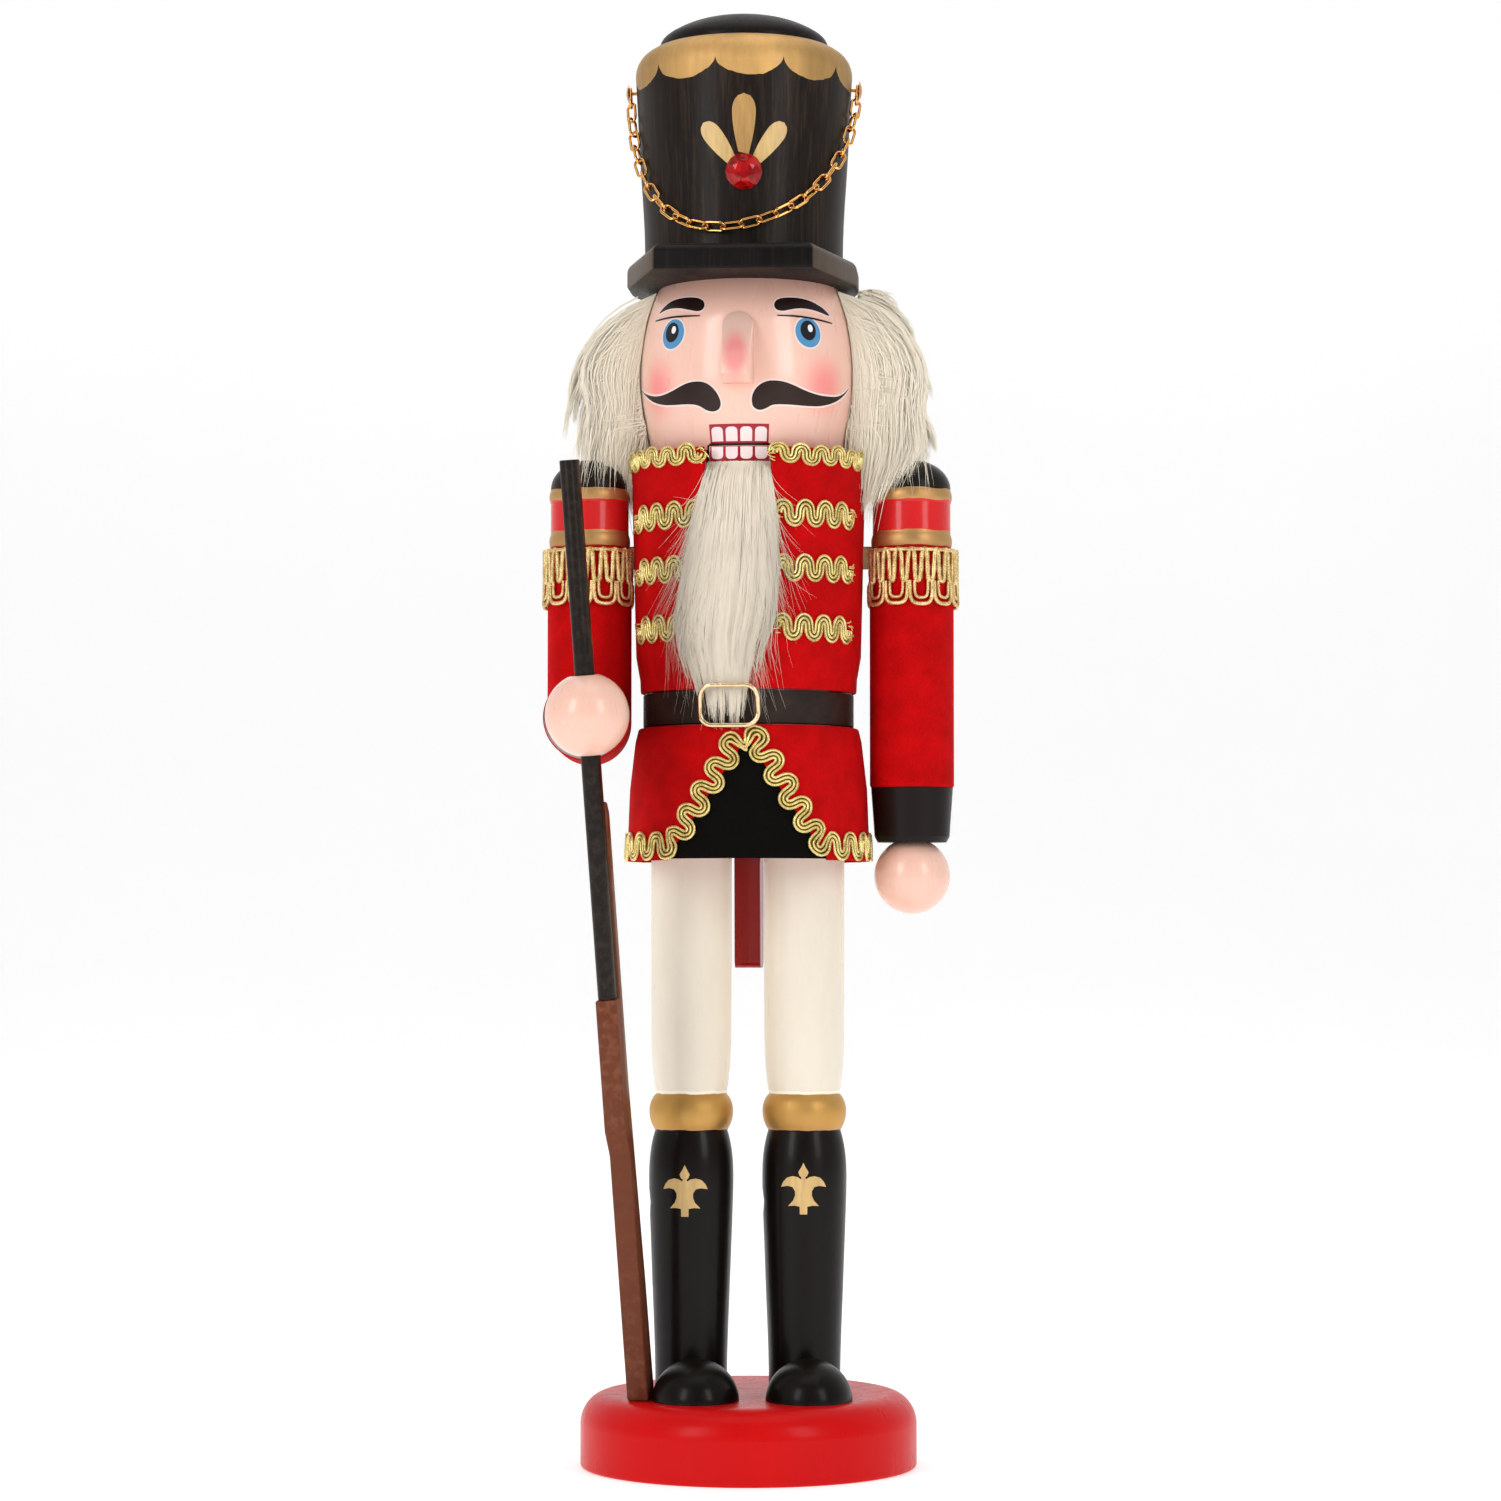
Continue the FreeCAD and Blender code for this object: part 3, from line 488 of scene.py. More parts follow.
def felt_cloth(name, colour, deep):
    """Pressed wool: fine tangled fibres, soft mottling and a sheen at glancing angles."""
    paint = Paint(name)
    fibres = paint.noise(2600.0, 6.0, 0.75, (1, 1, 0.7))
    mottle = paint.noise(160.0, 4.0, 0.6)
    blend = paint.maths("ADD", paint.maths("MULTIPLY", fibres, 0.6), paint.maths("MULTIPLY", mottle, 0.4))
    paint.set(
        Base_Color=paint.ramp(blend, [(0.34, deep), (0.62, colour)]),
        Roughness=paint.spread(fibres, 0.8, 1.0),
        Sheen_Weight=0.1,
        Sheen_Roughness=0.4,
        Sheen_Tint=colour,
        Specular_IOR_Level=0.1,
    )
    paint.bump(paint.maths("ADD", fibres, paint.maths("MULTIPLY", mottle, 0.5)), 0.35, 0.15)
    return paint.material


def metal(name, colour, rough, scale=900.0, bump=0.1):
    paint = Paint(name)
    spots = paint.noise(scale, 4.0, 0.6)
    paint.set(
        Base_Color=paint.ramp(spots, [(0.3, tuple(0.75 * v for v in colour)), (0.65, colour)]),
        Metallic=1.0,
        Roughness=paint.spread(spots, rough * 0.7, rough * 1.4),
    )
    paint.bump(spots, bump, 0.05)
    return paint.material


def cord_metal(name, colour, dark):
    """Metal thread wound round a core: fine ridges across each cord."""
    paint = Paint(name)
    wound = paint.noise(4200.0, 2.0, 0.5)
    broad = paint.noise(500.0, 3.0, 0.5)
    both = paint.maths("ADD", paint.maths("MULTIPLY", wound, 0.5), paint.maths("MULTIPLY", broad, 0.5))
    paint.set(
        Base_Color=paint.ramp(both, [(0.35, dark), (0.6, colour)]),
        Metallic=0.6,
        Roughness=paint.spread(wound, 0.2, 0.4),
    )
    paint.bump(wound, 0.5, 0.08)
    return paint.material


red_gloss = gloss("red_gloss_paint", srgb(207, 12, 14), 0.32, 0.03, 0.04, 0.12, srgb(235, 80, 70), 0.1)
dark_red = gloss("dark_red_paint", srgb(140, 8, 6), 0.3, 0.1, 0.06, 0.3, None, 0.25)
hand_paint = gloss("hand_skin_paint", srgb(246, 198, 178), 0.3, 0.35, 0.03, 0.15)
stock_paint = gloss("stock_brown_paint", srgb(104, 54, 34), 0.42, 0.08, 0.12, 0.5, srgb(140, 86, 60), 0.12)
barrel_paint = gloss("barrel_black_paint", srgb(32, 25, 21), 0.42, 0.05, 0.10, 0.6, srgb(72, 62, 54), 0.12)
toe_paint = gloss("toe_black_paint", srgb(16, 12, 9), 0.33, 0.06, 0.10, 0.3, srgb(60, 52, 46), 0.12)
red_felt = felt_cloth("red_felt", srgb(208, 5, 9), srgb(160, 1, 3))
black_felt = felt_cloth("black_felt", srgb(11, 8, 6), srgb(4, 3, 2))
braid_gold = cord_metal("gold_braid", srgb(252, 236, 160), srgb(206, 178, 98))
# Painted shade: dark brown lines that stand for the shade in the grooves between braid cords.
groove_shade_brown = cord_metal("braid_groove_shade", srgb(120, 84, 30), srgb(70, 44, 14))
fringe_gold = cord_metal("fringe_gold", srgb(252, 228, 165), srgb(190, 148, 80))
buckle_gold = metal("buckle_gold", srgb(250, 222, 180), 0.2)
chain_gold = metal("chain_gold", srgb(250, 188, 108), 0.12, 900.0, 0.05)
post_gold = metal("post_gold", srgb(225, 160, 85), 0.25)
pin_steel = metal("pin_steel", srgb(190, 190, 190), 0.3)


def leg_material(name):
    return banded(
        name,
        [
            (0.0, BOOT_BLACK, 0.0, 0.34, 0.06),
            (86.9, srgb(205, 150, 95), 0.3, 0.4, 0.2),
            (87.3, GOLD_PAINT, 0.72, 0.48, 0.05),
            (96.2, srgb(255, 248, 230), 0.0, 0.3, 0.2),
            (96.9, srgb(240, 230, 212), 0.0, 0.3, 0.2),
        ],
    )


def arm_material(name):
    return banded(
        name,
        [
            (0.0, srgb(24, 17, 14), 0.0, 0.4, 0.05),
            (200.0, srgb(186, 20, 20), 0.0, 0.4, 0.2),
            (238.2, RING_GOLD, 0.75, 0.45, 0.05),
            (242.1, srgb(214, 32, 34), 0.0, 0.3, 0.4),
            (249.9, RING_GOLD, 0.75, 0.45, 0.05),
            (253.6, srgb(24, 19, 16), 0.0, 0.38, 0.08),
        ],
    )


def oval_blush(paint, skin, x, z, middle, size, fade, tint):
    """Skin with a soft oval of another colour. `fade` is (where it starts to fade, where it ends, its
    strength), in sizes of the oval."""
    dx = paint.maths("DIVIDE", paint.maths("SUBTRACT", x, middle[0]), size[0])
    dz = paint.maths("DIVIDE", paint.maths("SUBTRACT", z, middle[1]), size[1])
    squares = (paint.maths("POWER", side, 2.0) for side in (dx, dz))
    far = paint.maths("SQRT", paint.maths("ADD", *squares))
    start, end, most = fade
    inputs = {"Value": far, "From Min": start, "From Max": end, "To Min": most, "To Max": 0.0}
    near = paint.add("MapRange", inputs, interpolation_type="SMOOTHSTEP")
    return paint.mix(near.outputs[0], skin, tint)


def body_material():
    """Skin on the head, with blushed cheeks, painted shade under the brim and above the collar, and red
    paint from the neck down.
    """
    paint = Paint("body_paint")
    z = paint.millimetres("Z")
    around = paint.maths("MULTIPLY", paint.azimuth(BODY_TURN), 27.5 * math.pi / 180)
    skin = varied(paint, srgb(252, 203, 184), 0.02, 60.0, (1, 1, 0.3))
    for cheek in (-24.6, 24.0):
        middle, size, fade = (cheek, 278.6), (7.4, 8.2), (0.1, 1.3, 0.85)
        skin = oval_blush(paint, skin, around, z, middle, size, fade, srgb(255, 138, 136))
    # Painted shade: the skin darkens towards the top of the head, under the brim.
    skin = paint.mix(paint.span(z, 296.0, 306.0, 0.0, 0.35), skin, srgb(222, 160, 142))
    # Painted shade: the skin darkens towards the bottom of the head, where it meets the collar and jaw.
    skin = paint.mix(paint.span(z, 265.5, 261.0, 0.0, 0.4), skin, srgb(214, 150, 130))
    paint.set(
        Base_Color=paint.mix(paint.maths("LESS_THAN", z, NECK), skin, srgb(150, 16, 18)),
        Roughness=paint.uneven(0.24, 0.36, 220.0),
        Coat_Weight=0.45,
        Coat_Roughness=0.12,
    )
    paint.brushed(0.15)
    return paint.material


def nose_material():
    """Skin with a blush on the ridge and pale edges."""
    paint = Paint("nose_paint")
    skin = varied(paint, srgb(255, 212, 195), 0.02, 60.0, (1, 1, 0.3))
    x, z = paint.millimetres("X"), paint.millimetres("Z")
    middle, size, fade = (-3.4, 284.6), (4.0, 7.6), (0.35, 1.15, 0.95)
    skin = oval_blush(paint, skin, x, z, middle, size, fade, srgb(255, 150, 145))
    paint.set(Base_Color=skin, Roughness=0.28, Coat_Weight=0.5, Coat_Roughness=0.12)
    paint.brushed(0.15)
    return paint.material


def jaw_material():
    """Skin on the jaw's front, and dark red on what shows of it inside the open mouth."""
    paint = Paint("jaw_paint")
    behind = paint.maths("GREATER_THAN", paint.millimetres("Y"), -21.5)
    skin = varied(paint, srgb(250, 200, 182), 0.02, 60.0, (1, 1, 0.3))
    paint.set(Base_Color=paint.mix(behind, skin, srgb(150, 22, 22)), Roughness=0.32, Coat_Weight=0.35)
    paint.brushed(0.2)
    return paint.material


BAND_TOP, BAND_FOOT = 369.6, 363.2
SCALLOPS, SCALLOP_DEPTH = 10, 5.4


def hat_material(name, crown):
    """Thin black paint over an upright grain. The crown has a gold band with a scalloped lower edge, and
    painted shade darkens the band towards its sides. The brim has a painted brown reflection where it faces
    sideways."""
    paint = Paint(name)
    grain = paint.noise(1100.0, 5.0, 0.65, (1, 1, 0.035))
    broad = paint.noise(160.0, 3.0, 0.5, (1, 1, 0.15))
    both = paint.maths("ADD", paint.maths("MULTIPLY", grain, 0.7), paint.maths("MULTIPLY", broad, 0.3))
    tones = ((14, 9, 6), (30, 21, 15), (60, 46, 37)) if crown else ((6, 4, 3), (13, 9, 7), (34, 27, 22))
    black = paint.ramp(both, [(place, srgb(*tone)) for place, tone in zip((0.36, 0.5, 0.7), tones)])
    rough = paint.spread(grain, 0.42, 0.6)
    metallic = 0.0
    if not crown:
        # Painted reflection: the brim's faces that turn sideways are painted a lighter brown, as if they
        # caught the surroundings.
        normal = paint.add("NewGeometry").outputs["Normal"]
        sideways = paint.add("SeparateXYZ", {"Vector": normal}).outputs["X"]
        sideways_reflection = paint.span(paint.maths("ABSOLUTE", sideways), 0.25, 0.45)
        sideways_reflection = paint.maths("MULTIPLY", sideways_reflection, paint.span(both, 0.35, 0.6, 0.5, 1.0))
        colour = paint.mix(sideways_reflection, black, srgb(84, 66, 50))
    else:
        z = paint.millimetres("Z")
        dome = paint.maths("GREATER_THAN", z, BAND_TOP)
        black = paint.mix(paint.maths("MULTIPLY", dome, 0.7), black, srgb(9, 5, 4))
        # The scallops are counted from one in the middle; the large whole number keeps the count positive.
        scallop = paint.maths("DIVIDE", paint.azimuth(HAT_TURN + 7.0, (HAT_X, 0.0)), 360 / SCALLOPS)
        scallop = paint.maths("FRACT", paint.maths("ADD", scallop, 100.5))
        part = paint.maths("SUBTRACT", paint.maths("MULTIPLY", scallop, 2.0), 1.0)
        below_one = paint.maths("SUBTRACT", 1.0, paint.maths("POWER", part, 2.0))
        arc = paint.maths("SQRT", paint.maths("MAXIMUM", below_one, 0.0))
        edge = paint.maths("ADD", paint.maths("MULTIPLY", arc, -SCALLOP_DEPTH), BAND_FOOT)
        edge = paint.maths("ADD", edge, paint.spread(paint.noise(300.0, 2.0, 0.5, (1, 1, 0.0)), -0.25, 0.25))
        above, below = paint.maths("GREATER_THAN", z, edge), paint.maths("LESS_THAN", z, BAND_TOP)
        gold = paint.maths("MULTIPLY", above, below)
        tone = varied(paint, srgb(214, 171, 108), 0.2, 90.0, (1, 1, 0.3))
        # Painted shade: the gold band darkens towards its sides, where it turns away from the light.
        aside = paint.maths("ABSOLUTE", paint.azimuth(HAT_TURN, (HAT_X, 0.0)))
        tone = paint.times(tone, paint.span(aside, 20, 75, 1.0, 0.6))
        colour = paint.mix(gold, black, tone)
        metallic = paint.maths("MULTIPLY", gold, 0.85)
        rough = paint.maths("ADD", rough, paint.maths("MULTIPLY", gold, 0.08))
    paint.set(
        Base_Color=colour,
        Metallic=metallic,
        Roughness=rough,
        Coat_Weight=0.1,
        Coat_Roughness=0.26,
        Specular_IOR_Level=0.12,
    )
    paint.bump(both, 0.5, 0.08)
    return paint.material


def fur_material(name, light, dark, lift=0.05):
    """Each strand has its own tint, a darker root and a paler tip. `lift` is the strength of a painted glow,
    an emission that brightens the shaded fur, up at the roots of the densest fur; below them the glow is
    faint."""
    paint = Paint(name)
    z = paint.millimetres("Z")
    tint = paint.add("Attribute", attribute_name="tint").outputs["Fac"]
    streak = paint.noise(700.0, 3.0, 0.6, (1, 1, 0.1))
    tone = paint.maths("ADD", paint.maths("MULTIPLY", tint, 0.75), paint.maths("MULTIPLY", streak, 0.25))
    paint.set(
        Base_Color=paint.ramp(tone, [(0.1, dark), (0.7, light)]),
        Roughness=paint.spread(streak, 0.42, 0.6),
        Specular_IOR_Level=0.25,
        # Painted light: the fur glows a little, most at the beard's roots, to brighten its self-shadowed
        # strands.
        Emission_Color=light,
        Emission_Strength=paint.span(z, 236.0, 254.0, 0.05, lift),
    )
    paint.bump(streak, 0.15, 0.05)
    return paint.material


def cloth_backing():
    """The knitted ground that the fur grows from."""
    paint = Paint("fur_ground")
    knit = paint.noise(900.0, 3.0, 0.6, (1, 1, 0.2))
    paint.set(
        Base_Color=paint.ramp(knit, [(0.3, srgb(226, 210, 180)), (0.7, srgb(246, 236, 216))]),
        Roughness=paint.spread(knit, 0.7, 0.9),
        Sheen_Weight=0.2,
    )
    paint.bump(knit, 0.3, 0.1)
    return paint.material


fur_hair = fur_material("hair_fur", srgb(246, 236, 216), srgb(222, 205, 174))
# The beard has the stronger painted glow at its roots.
fur_beard = fur_material("beard_fur", srgb(239, 227, 208), srgb(212, 195, 168), 0.2)
fur_backing = cloth_backing()


def leather():
    paint = Paint("belt_leatherette")
    inputs = {"Vector": paint.scaled((1800, 1800, 1800)), "Scale": 1.0}
    cells = paint.add("TexVoronoi", inputs).outputs["Distance"]
    tone = paint.noise(200.0, 4.0)
    paint.set(
        Base_Color=paint.ramp(tone, [(0.3, srgb(30, 20, 15)), (0.7, srgb(48, 34, 27))]),
        Roughness=paint.span(cells, 0.0, 0.8, 0.42, 0.6),
        Specular_IOR_Level=0.2,
    )
    paint.bump(cells, 0.25, 0.05)
    return paint.material


def flat_paint(name, colour, rough=0.3, coat=0.4, variation=0.05):
    return gloss(name, colour, rough, coat, variation, 0.12, None, 0.2)


def bare_wood():
    paint = Paint("bare_wood")
    rings = paint.noise(500.0, 4.0, 0.6, (1, 1, 0.05))
    stops = [(0.3, srgb(196, 158, 112)), (0.7, srgb(226, 194, 150))]
    paint.set(Base_Color=paint.ramp(rings, stops), Roughness=0.7)
    paint.bump(rings, 0.3, 0.05)
    return paint.material


def stone():
    """Deep red, with painted reflections: the light and dark patches that a foiled back shows through the
    facets.
    """
    paint = Paint("red_stone")
    cells = paint.add("TexVoronoi", {"Vector": paint.place, "Scale": 620.0}).outputs["Color"]
    cloud = paint.noise(300.0, 2.0)
    # The light and dark patches are painted reflections of the facets.
    tone = paint.maths("ADD", paint.maths("MULTIPLY", cells, 0.75), paint.maths("MULTIPLY", cloud, 0.25))
    stops = [(0.15, srgb(84, 0, 5)), (0.5, srgb(156, 5, 10)), (0.88, srgb(204, 26, 28))]
    paint.set(
        Base_Color=paint.ramp(tone, stops),
        Roughness=paint.spread(cloud, 0.08, 0.14),
        Specular_IOR_Level=0.35,
    )
    paint.bump(cloud, 0.02, 0.02)
    return paint.material


PETAL_MIDDLE = HAT_X + 27.0 * math.sin(math.radians(JEWEL_TURN))


def petal_paint():
    """Streaky gold paint, dark on the middle petal and paler to its sides."""
    paint = Paint("petal_gold_paint")
    x = paint.maths("SUBTRACT", paint.millimetres("X"), PETAL_MIDDLE)
    aside = paint.span(paint.maths("ABSOLUTE", x), 2.6, 3.6)
    tone = paint.mix(aside, srgb(184, 142, 82), srgb(214, 178, 116))
    streaks = paint.noise(700.0, 4.0, 0.6, (1, 1, 0.12))
    paint.set(
        Base_Color=paint.times(tone, paint.spread(streaks, 0.82, 1.16)),
        Roughness=paint.spread(streaks, 0.36, 0.5),
        Coat_Weight=0.05,
    )
    paint.bump(streaks, 0.3, 0.05)
    return paint.material


wood = bare_wood()
petal_gold = petal_paint()
belt_leather = leather()
red_stone = stone()
outline_pale = flat_paint("outline_pale_paint", srgb(250, 226, 220))
hair_brown = flat_paint("moustache_brown_paint", srgb(46, 29, 23), 0.34, 0.1, 0.15)
brow_brown = flat_paint("brow_brown_paint", srgb(30, 12, 10), 0.35, 0.15)
eye_blue = flat_paint("iris_blue_paint", srgb(84, 150, 198), 0.25, 0.5, 0.08)
eye_dark = flat_paint("pupil_dark_paint", srgb(26, 27, 34), 0.3, 0.2)
eye_white = flat_paint("highlight_white_paint", srgb(250, 250, 250))
tooth_red = flat_paint("tooth_red_paint", srgb(168, 16, 42))
tooth_white = flat_paint("tooth_white_paint", srgb(252, 232, 232))


def ride(obj, body, slot=None, *replaced):
    if replaced:
        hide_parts(*replaced)
    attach(obj, body)
    return obj


def dress(node, material):
    """Gives a CAD node its material."""
    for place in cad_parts[node].material_slots:
        place.material = material


# ---- Wooden pieces ----

for plain_node, plain_material in (
    ("base_disc", red_gloss),
    ("leg_dowels", wood),
    ("hand_dowels", wood),
    ("shoulder_dowels", wood),
    ("hat_dowel", wood),
    ("pivot_pin", pin_steel),
    ("leg_right", leg_material("right_leg_paint")),
    ("leg_left", leg_material("left_leg_paint")),
    ("toe_cap_right", toe_paint),
    ("toe_cap_left", toe_paint),
    ("body_block", body_material()),
    ("arm_left", arm_material("left_arm_paint")),
    ("upper_arm_right", arm_material("right_arm_paint")),
    ("forearm_right", gloss("cuff_black_paint", srgb(20, 14, 12), 0.35, 0.2, 0.1)),
    ("hand_left", hand_paint),
    ("hand_right", hand_paint),
    ("hat_crown", hat_material("crown_paint", True)),
    ("chain_posts", post_gold),
    ("hat_chain", chain_gold),
):
    dress(plain_node, plain_material)


def any_edge(edge):
    return True


def is_upper_side(edge):
    """Edges of the brim's top along its sides and back."""
    a, b = (vert.co / MM for vert in edge.verts)
    return min(a.z, b.z) > 312.6 and max(a.y, b.y) > -38.5


def softened(name, node, material, body, slot, bevels, smooth_angle=35.0):
    """A wooden piece with rounded edges, in the place of its CAD node."""
    return ride(cad_copy(name, node, material, bevels, smooth_angle), body, slot, node)


brim_paint = hat_material("brim_paint", False)
brim_bevels = [(3.6, 6, is_upper_side), (0.5, 3, any_edge)]
softened("brim", "hat_brim", brim_paint, "figure", "black_paint", brim_bevels)
softened("nose_wood", "nose", nose_material(), "figure", "skin_paint", [(0.7, 3, any_edge)], 40.0)
softened("stock", "rifle_stock", stock_paint, "figure", "brown_paint", [(0.5, 2, any_edge)])
softened("barrel", "rifle_barrel", barrel_paint, "figure", "black_paint", [(0.3, 2, any_edge)])
softened("lever", "jaw_lever", dark_red, "jaw", "dark_red_paint", [(0.6, 3, any_edge)])
softened("jaw_wood", "jaw_block", jaw_material(), "jaw", "skin_paint", [(0.3, 2, any_edge)])

# ---- Painted details ----

face = round_surface(smooth_profile(HEAD), BODY_TURN)


def decal(name, outline, surface, material, level=0, body="figure", rounding=2, slot="skin_paint"):
    """A painted shape. Each level lies a little above the one before."""
    top = 0.07 + 0.05 * level
    obj = patch(name, rounded_outline(outline, rounding), surface, material, top, -0.05, 0.0, 1.0, 0.6)
    return ride(obj, body, slot)


def ellipse(centre, half_width, half_height, tilt=0.0, count=36):
    c, s = math.cos(math.radians(tilt)), math.sin(math.radians(tilt))
    points = []
    for i in range(count):
        t = 2 * math.pi * i / count
        x, y = half_width * math.cos(t), half_height * math.sin(t)
        points.append((centre[0] + x * c - y * s, centre[1] + x * s + y * c))
    return points


LOBES = {
    "right": [
        (-36.8, 279.9), (-32.9, 278.3), (-28.7, 277.15), (-25.2, 276.5), (-21.9, 276.6), (-18.5, 277.3),
        (-15.7, 278.3), (-13.2, 279.0), (-10.8, 279.15), (-8.6, 278.8), (-6.9, 277.7), (-5.45, 276.0),
        (-4.6, 274.0), (-4.6, 272.6), (-5.3, 271.6), (-6.8, 271.2), (-8.6, 271.65), (-10.1, 272.7),
        (-11.7, 273.3), (-14.6, 273.6), (-18.4, 273.65), (-22.8, 274.05), (-27.2, 275.2), (-31.0, 277.0),
        (-34.6, 278.8),
    ],
    "left": [
        (35.4, 279.6), (32.3, 277.5), (29.2, 276.3), (25.8, 276.0), (21.8, 276.0), (17.8, 276.8),
        (14.0, 278.2), (11.4, 278.9), (8.9, 279.1), (6.9, 278.8), (4.9, 277.6), (3.7, 275.8),
        (3.4, 274.0), (3.7, 272.4), (4.8, 271.6), (6.0, 271.5), (7.5, 272.1), (8.7, 272.9),
        (10.8, 273.1), (14.4, 273.1), (18.6, 273.0), (23.4, 273.3), (28.2, 274.7), (31.6, 276.5),
        (33.7, 278.05),
    ],
}
BROWS = {
    "right": [
        (-27.2, 298.2), (-25.8, 299.2), (-24.2, 300.3), (-21.4, 301.3), (-17.5, 301.6), (-13.5, 301.4),
        (-10.7, 300.7), (-9.6, 299.5), (-9.6, 298.2), (-10.5, 297.5), (-12.0, 297.5), (-14.4, 298.1),
        (-17.9, 298.9), (-21.1, 299.1), (-24.1, 298.9),
    ],
    "left": [
        (27.9, 296.9), (26.1, 298.5), (23.9, 299.6), (20.9, 300.6), (17.3, 301.1), (13.8, 301.0),
        (11.1, 300.6), (9.7, 299.6), (9.5, 298.3), (10.2, 297.4), (11.8, 297.2), (13.8, 297.7),
        (16.8, 298.3), (19.9, 298.3), (23.2, 297.9),
    ],
}
LIDS = {
    "right": [(-28.0, 296.6), (-21.0, 296.7), (-15.7, 296.5), (-10.6, 296.2)],
    "left": [(10.2, 296.0), (14.2, 296.1), (18.5, 296.0), (22.7, 295.7), (27.9, 295.3)],
}
IRIS = {"right": ((-18.9, 292.1), 8), "left": ((18.85, 292.0), -8)}


def ribbon(points, width):
    """The outline of a painted line that thins at its ends."""
    line = rounded_outline(points, 2, closed=False)
    upper, lower = [], []
    for i, (x, y) in enumerate(line):
        half = width / 2 * (0.45 + 0.55 * math.sin(math.pi * i / (len(line) - 1)))
        upper.append((x, y + half))
        lower.append((x, y - half))
    return upper + lower[::-1]


def paint_face():
    for side in ("right", "left"):
        edge = offset_outline(rounded_outline(LOBES[side], 1), 0.5)
        decal(f"moustache_edge_{side}", edge, face, outline_pale, 0, rounding=1)
        decal(f"moustache_{side}", LOBES[side], face, hair_brown, 1)
        edge = offset_outline(rounded_outline(BROWS[side], 1), 0.35)
        decal(f"brow_edge_{side}", edge, face, outline_pale, 0, rounding=1)
        decal(f"brow_{side}", BROWS[side], face, brow_brown, 1)
        centre, tilt = IRIS[side]
        decal(f"eye_edge_{side}", ellipse(centre, 4.35, 4.35, tilt), face, outline_pale, 0, rounding=0)
        decal(f"iris_{side}", ellipse(centre, 3.85, 3.9, tilt), face, eye_blue, 1, rounding=0)
        x = centre[0] - (0.3 if side == "right" else 0.0)
        decal(f"pupil_{side}", ellipse((x, 292.55), 2.35, 2.6, tilt), face, eye_dark, 2, rounding=0)
        decal(f"eye_light_{side}", ellipse((x + 0.6, 293.15), 0.75, 1.0), face, eye_white, 3, rounding=0)
        decal(f"lid_{side}", ribbon(LIDS[side], 0.5), face, brow_brown, 2, rounding=0)


def tooth(centre, bottom, top, half, up):
    """A tooth's outline, with its far end rounded: the top end if `up`."""
    flat, tip = (bottom, top) if up else (top, bottom)
    sign = 1 if up else -1
    points = [(centre - half, flat), (centre + half, flat), (centre + half, tip - sign)]
    for t in range(0, 181, 20):
        across = 0.75 * math.cos(math.radians(t)) + 0.25 * ((t < 90) - (t > 90))
        points.append((centre + half * across, tip - sign + sign * math.sin(math.radians(t))))
    points.append((centre - half, tip - sign))
    return points


def paint_teeth():
    half, pitch = 8.2, 4.02
    panel = [(-half, 263.0), (half, 263.0), (half, 268.1), (-half, 268.1)]
    decal("gum_upper", resampled(panel, 1.0), face, tooth_red, 0, rounding=0)
    seam = [(-half - 0.4, 262.8), (half + 0.4, 262.8), (half + 0.4, 263.3), (-half - 0.4, 263.3)]
    decal("mouth_line", resampled(seam, 1.0), face, brow_brown, 1, rounding=0)
    jaw_surface = round_surface(lambda z: 25.3, BODY_TURN, unit=25.3)
    panel = [(-7.7, 258.6), (7.7, 258.6), (7.7, 262.5), (-7.7, 262.5)]
    decal("gum_lower", resampled(panel, 1.0), jaw_surface, tooth_red, 0, "jaw", rounding=0)
    for i in range(4):
        x = (i - 1.5) * pitch
        decal(f"tooth_upper_{i + 1}", tooth(x, 263.75, 267.4, 1.62, True), face, tooth_white, 1, rounding=0)
        outline = tooth(x * 0.94, 259.2, 262.35, 1.55, False)
        decal(f"tooth_lower_{i + 1}", outline, jaw_surface, tooth_white, 1, "jaw", rounding=0)


FLEUR = [
    (0.0, 13.28), (0.55, 12.11), (1.28, 10.84), (0.95, 9.93), (0.44, 9.46), (0.66, 9.02), (1.46, 9.57),
    (2.76, 9.82), (4.29, 9.38), (5.3, 8.29), (5.93, 7.02), (4.1, 7.31), (2.76, 7.02), (2.12, 5.93),
    (2.12, 4.84), (2.64, 3.56), (4.02, 2.11), (2.38, 2.25), (0.98, 2.0), (0.95, 0.0),
]


def paint_boots():
    boot = smooth_profile(BOOT)
    for side, x, azimuth, foot in (("right", -14.9, -8.0, 65.0), ("left", 14.5, -2.0, 65.6)):
        surface = round_surface(boot, azimuth, (x, -1.0), 10.8)
        half = [(u, foot + v) for u, v in FLEUR]
        outline = resampled(half + [(-u, v) for u, v in reversed(half[1:])], 0.35)
        decal(f"fleur_{side}", outline, surface, petal_gold, 1, rounding=1, slot="gold_metal")


def petal(centre, foot, length, half, lean):
    """A drop, narrow at its foot and blunt at its top, that leans from its foot."""
    points = []
    widest = 0.72
    for i in range(25):
        t = i / 24
        swell = 0.42 + 0.58 * math.sin(0.5 * math.pi * min(1.0, t / widest))
        closing = max(0.0, (t - widest) / (1 - widest))
        points.append((half * swell * math.sqrt(max(0.0, 1 - closing**2)), length * t))
    outline = points + [(-x, y) for x, y in reversed(points[1:-1])]
    c, s = math.cos(math.radians(lean)), math.sin(math.radians(lean))
    return [(centre + x * c + y * s, foot + y * c - x * s) for x, y in outline]


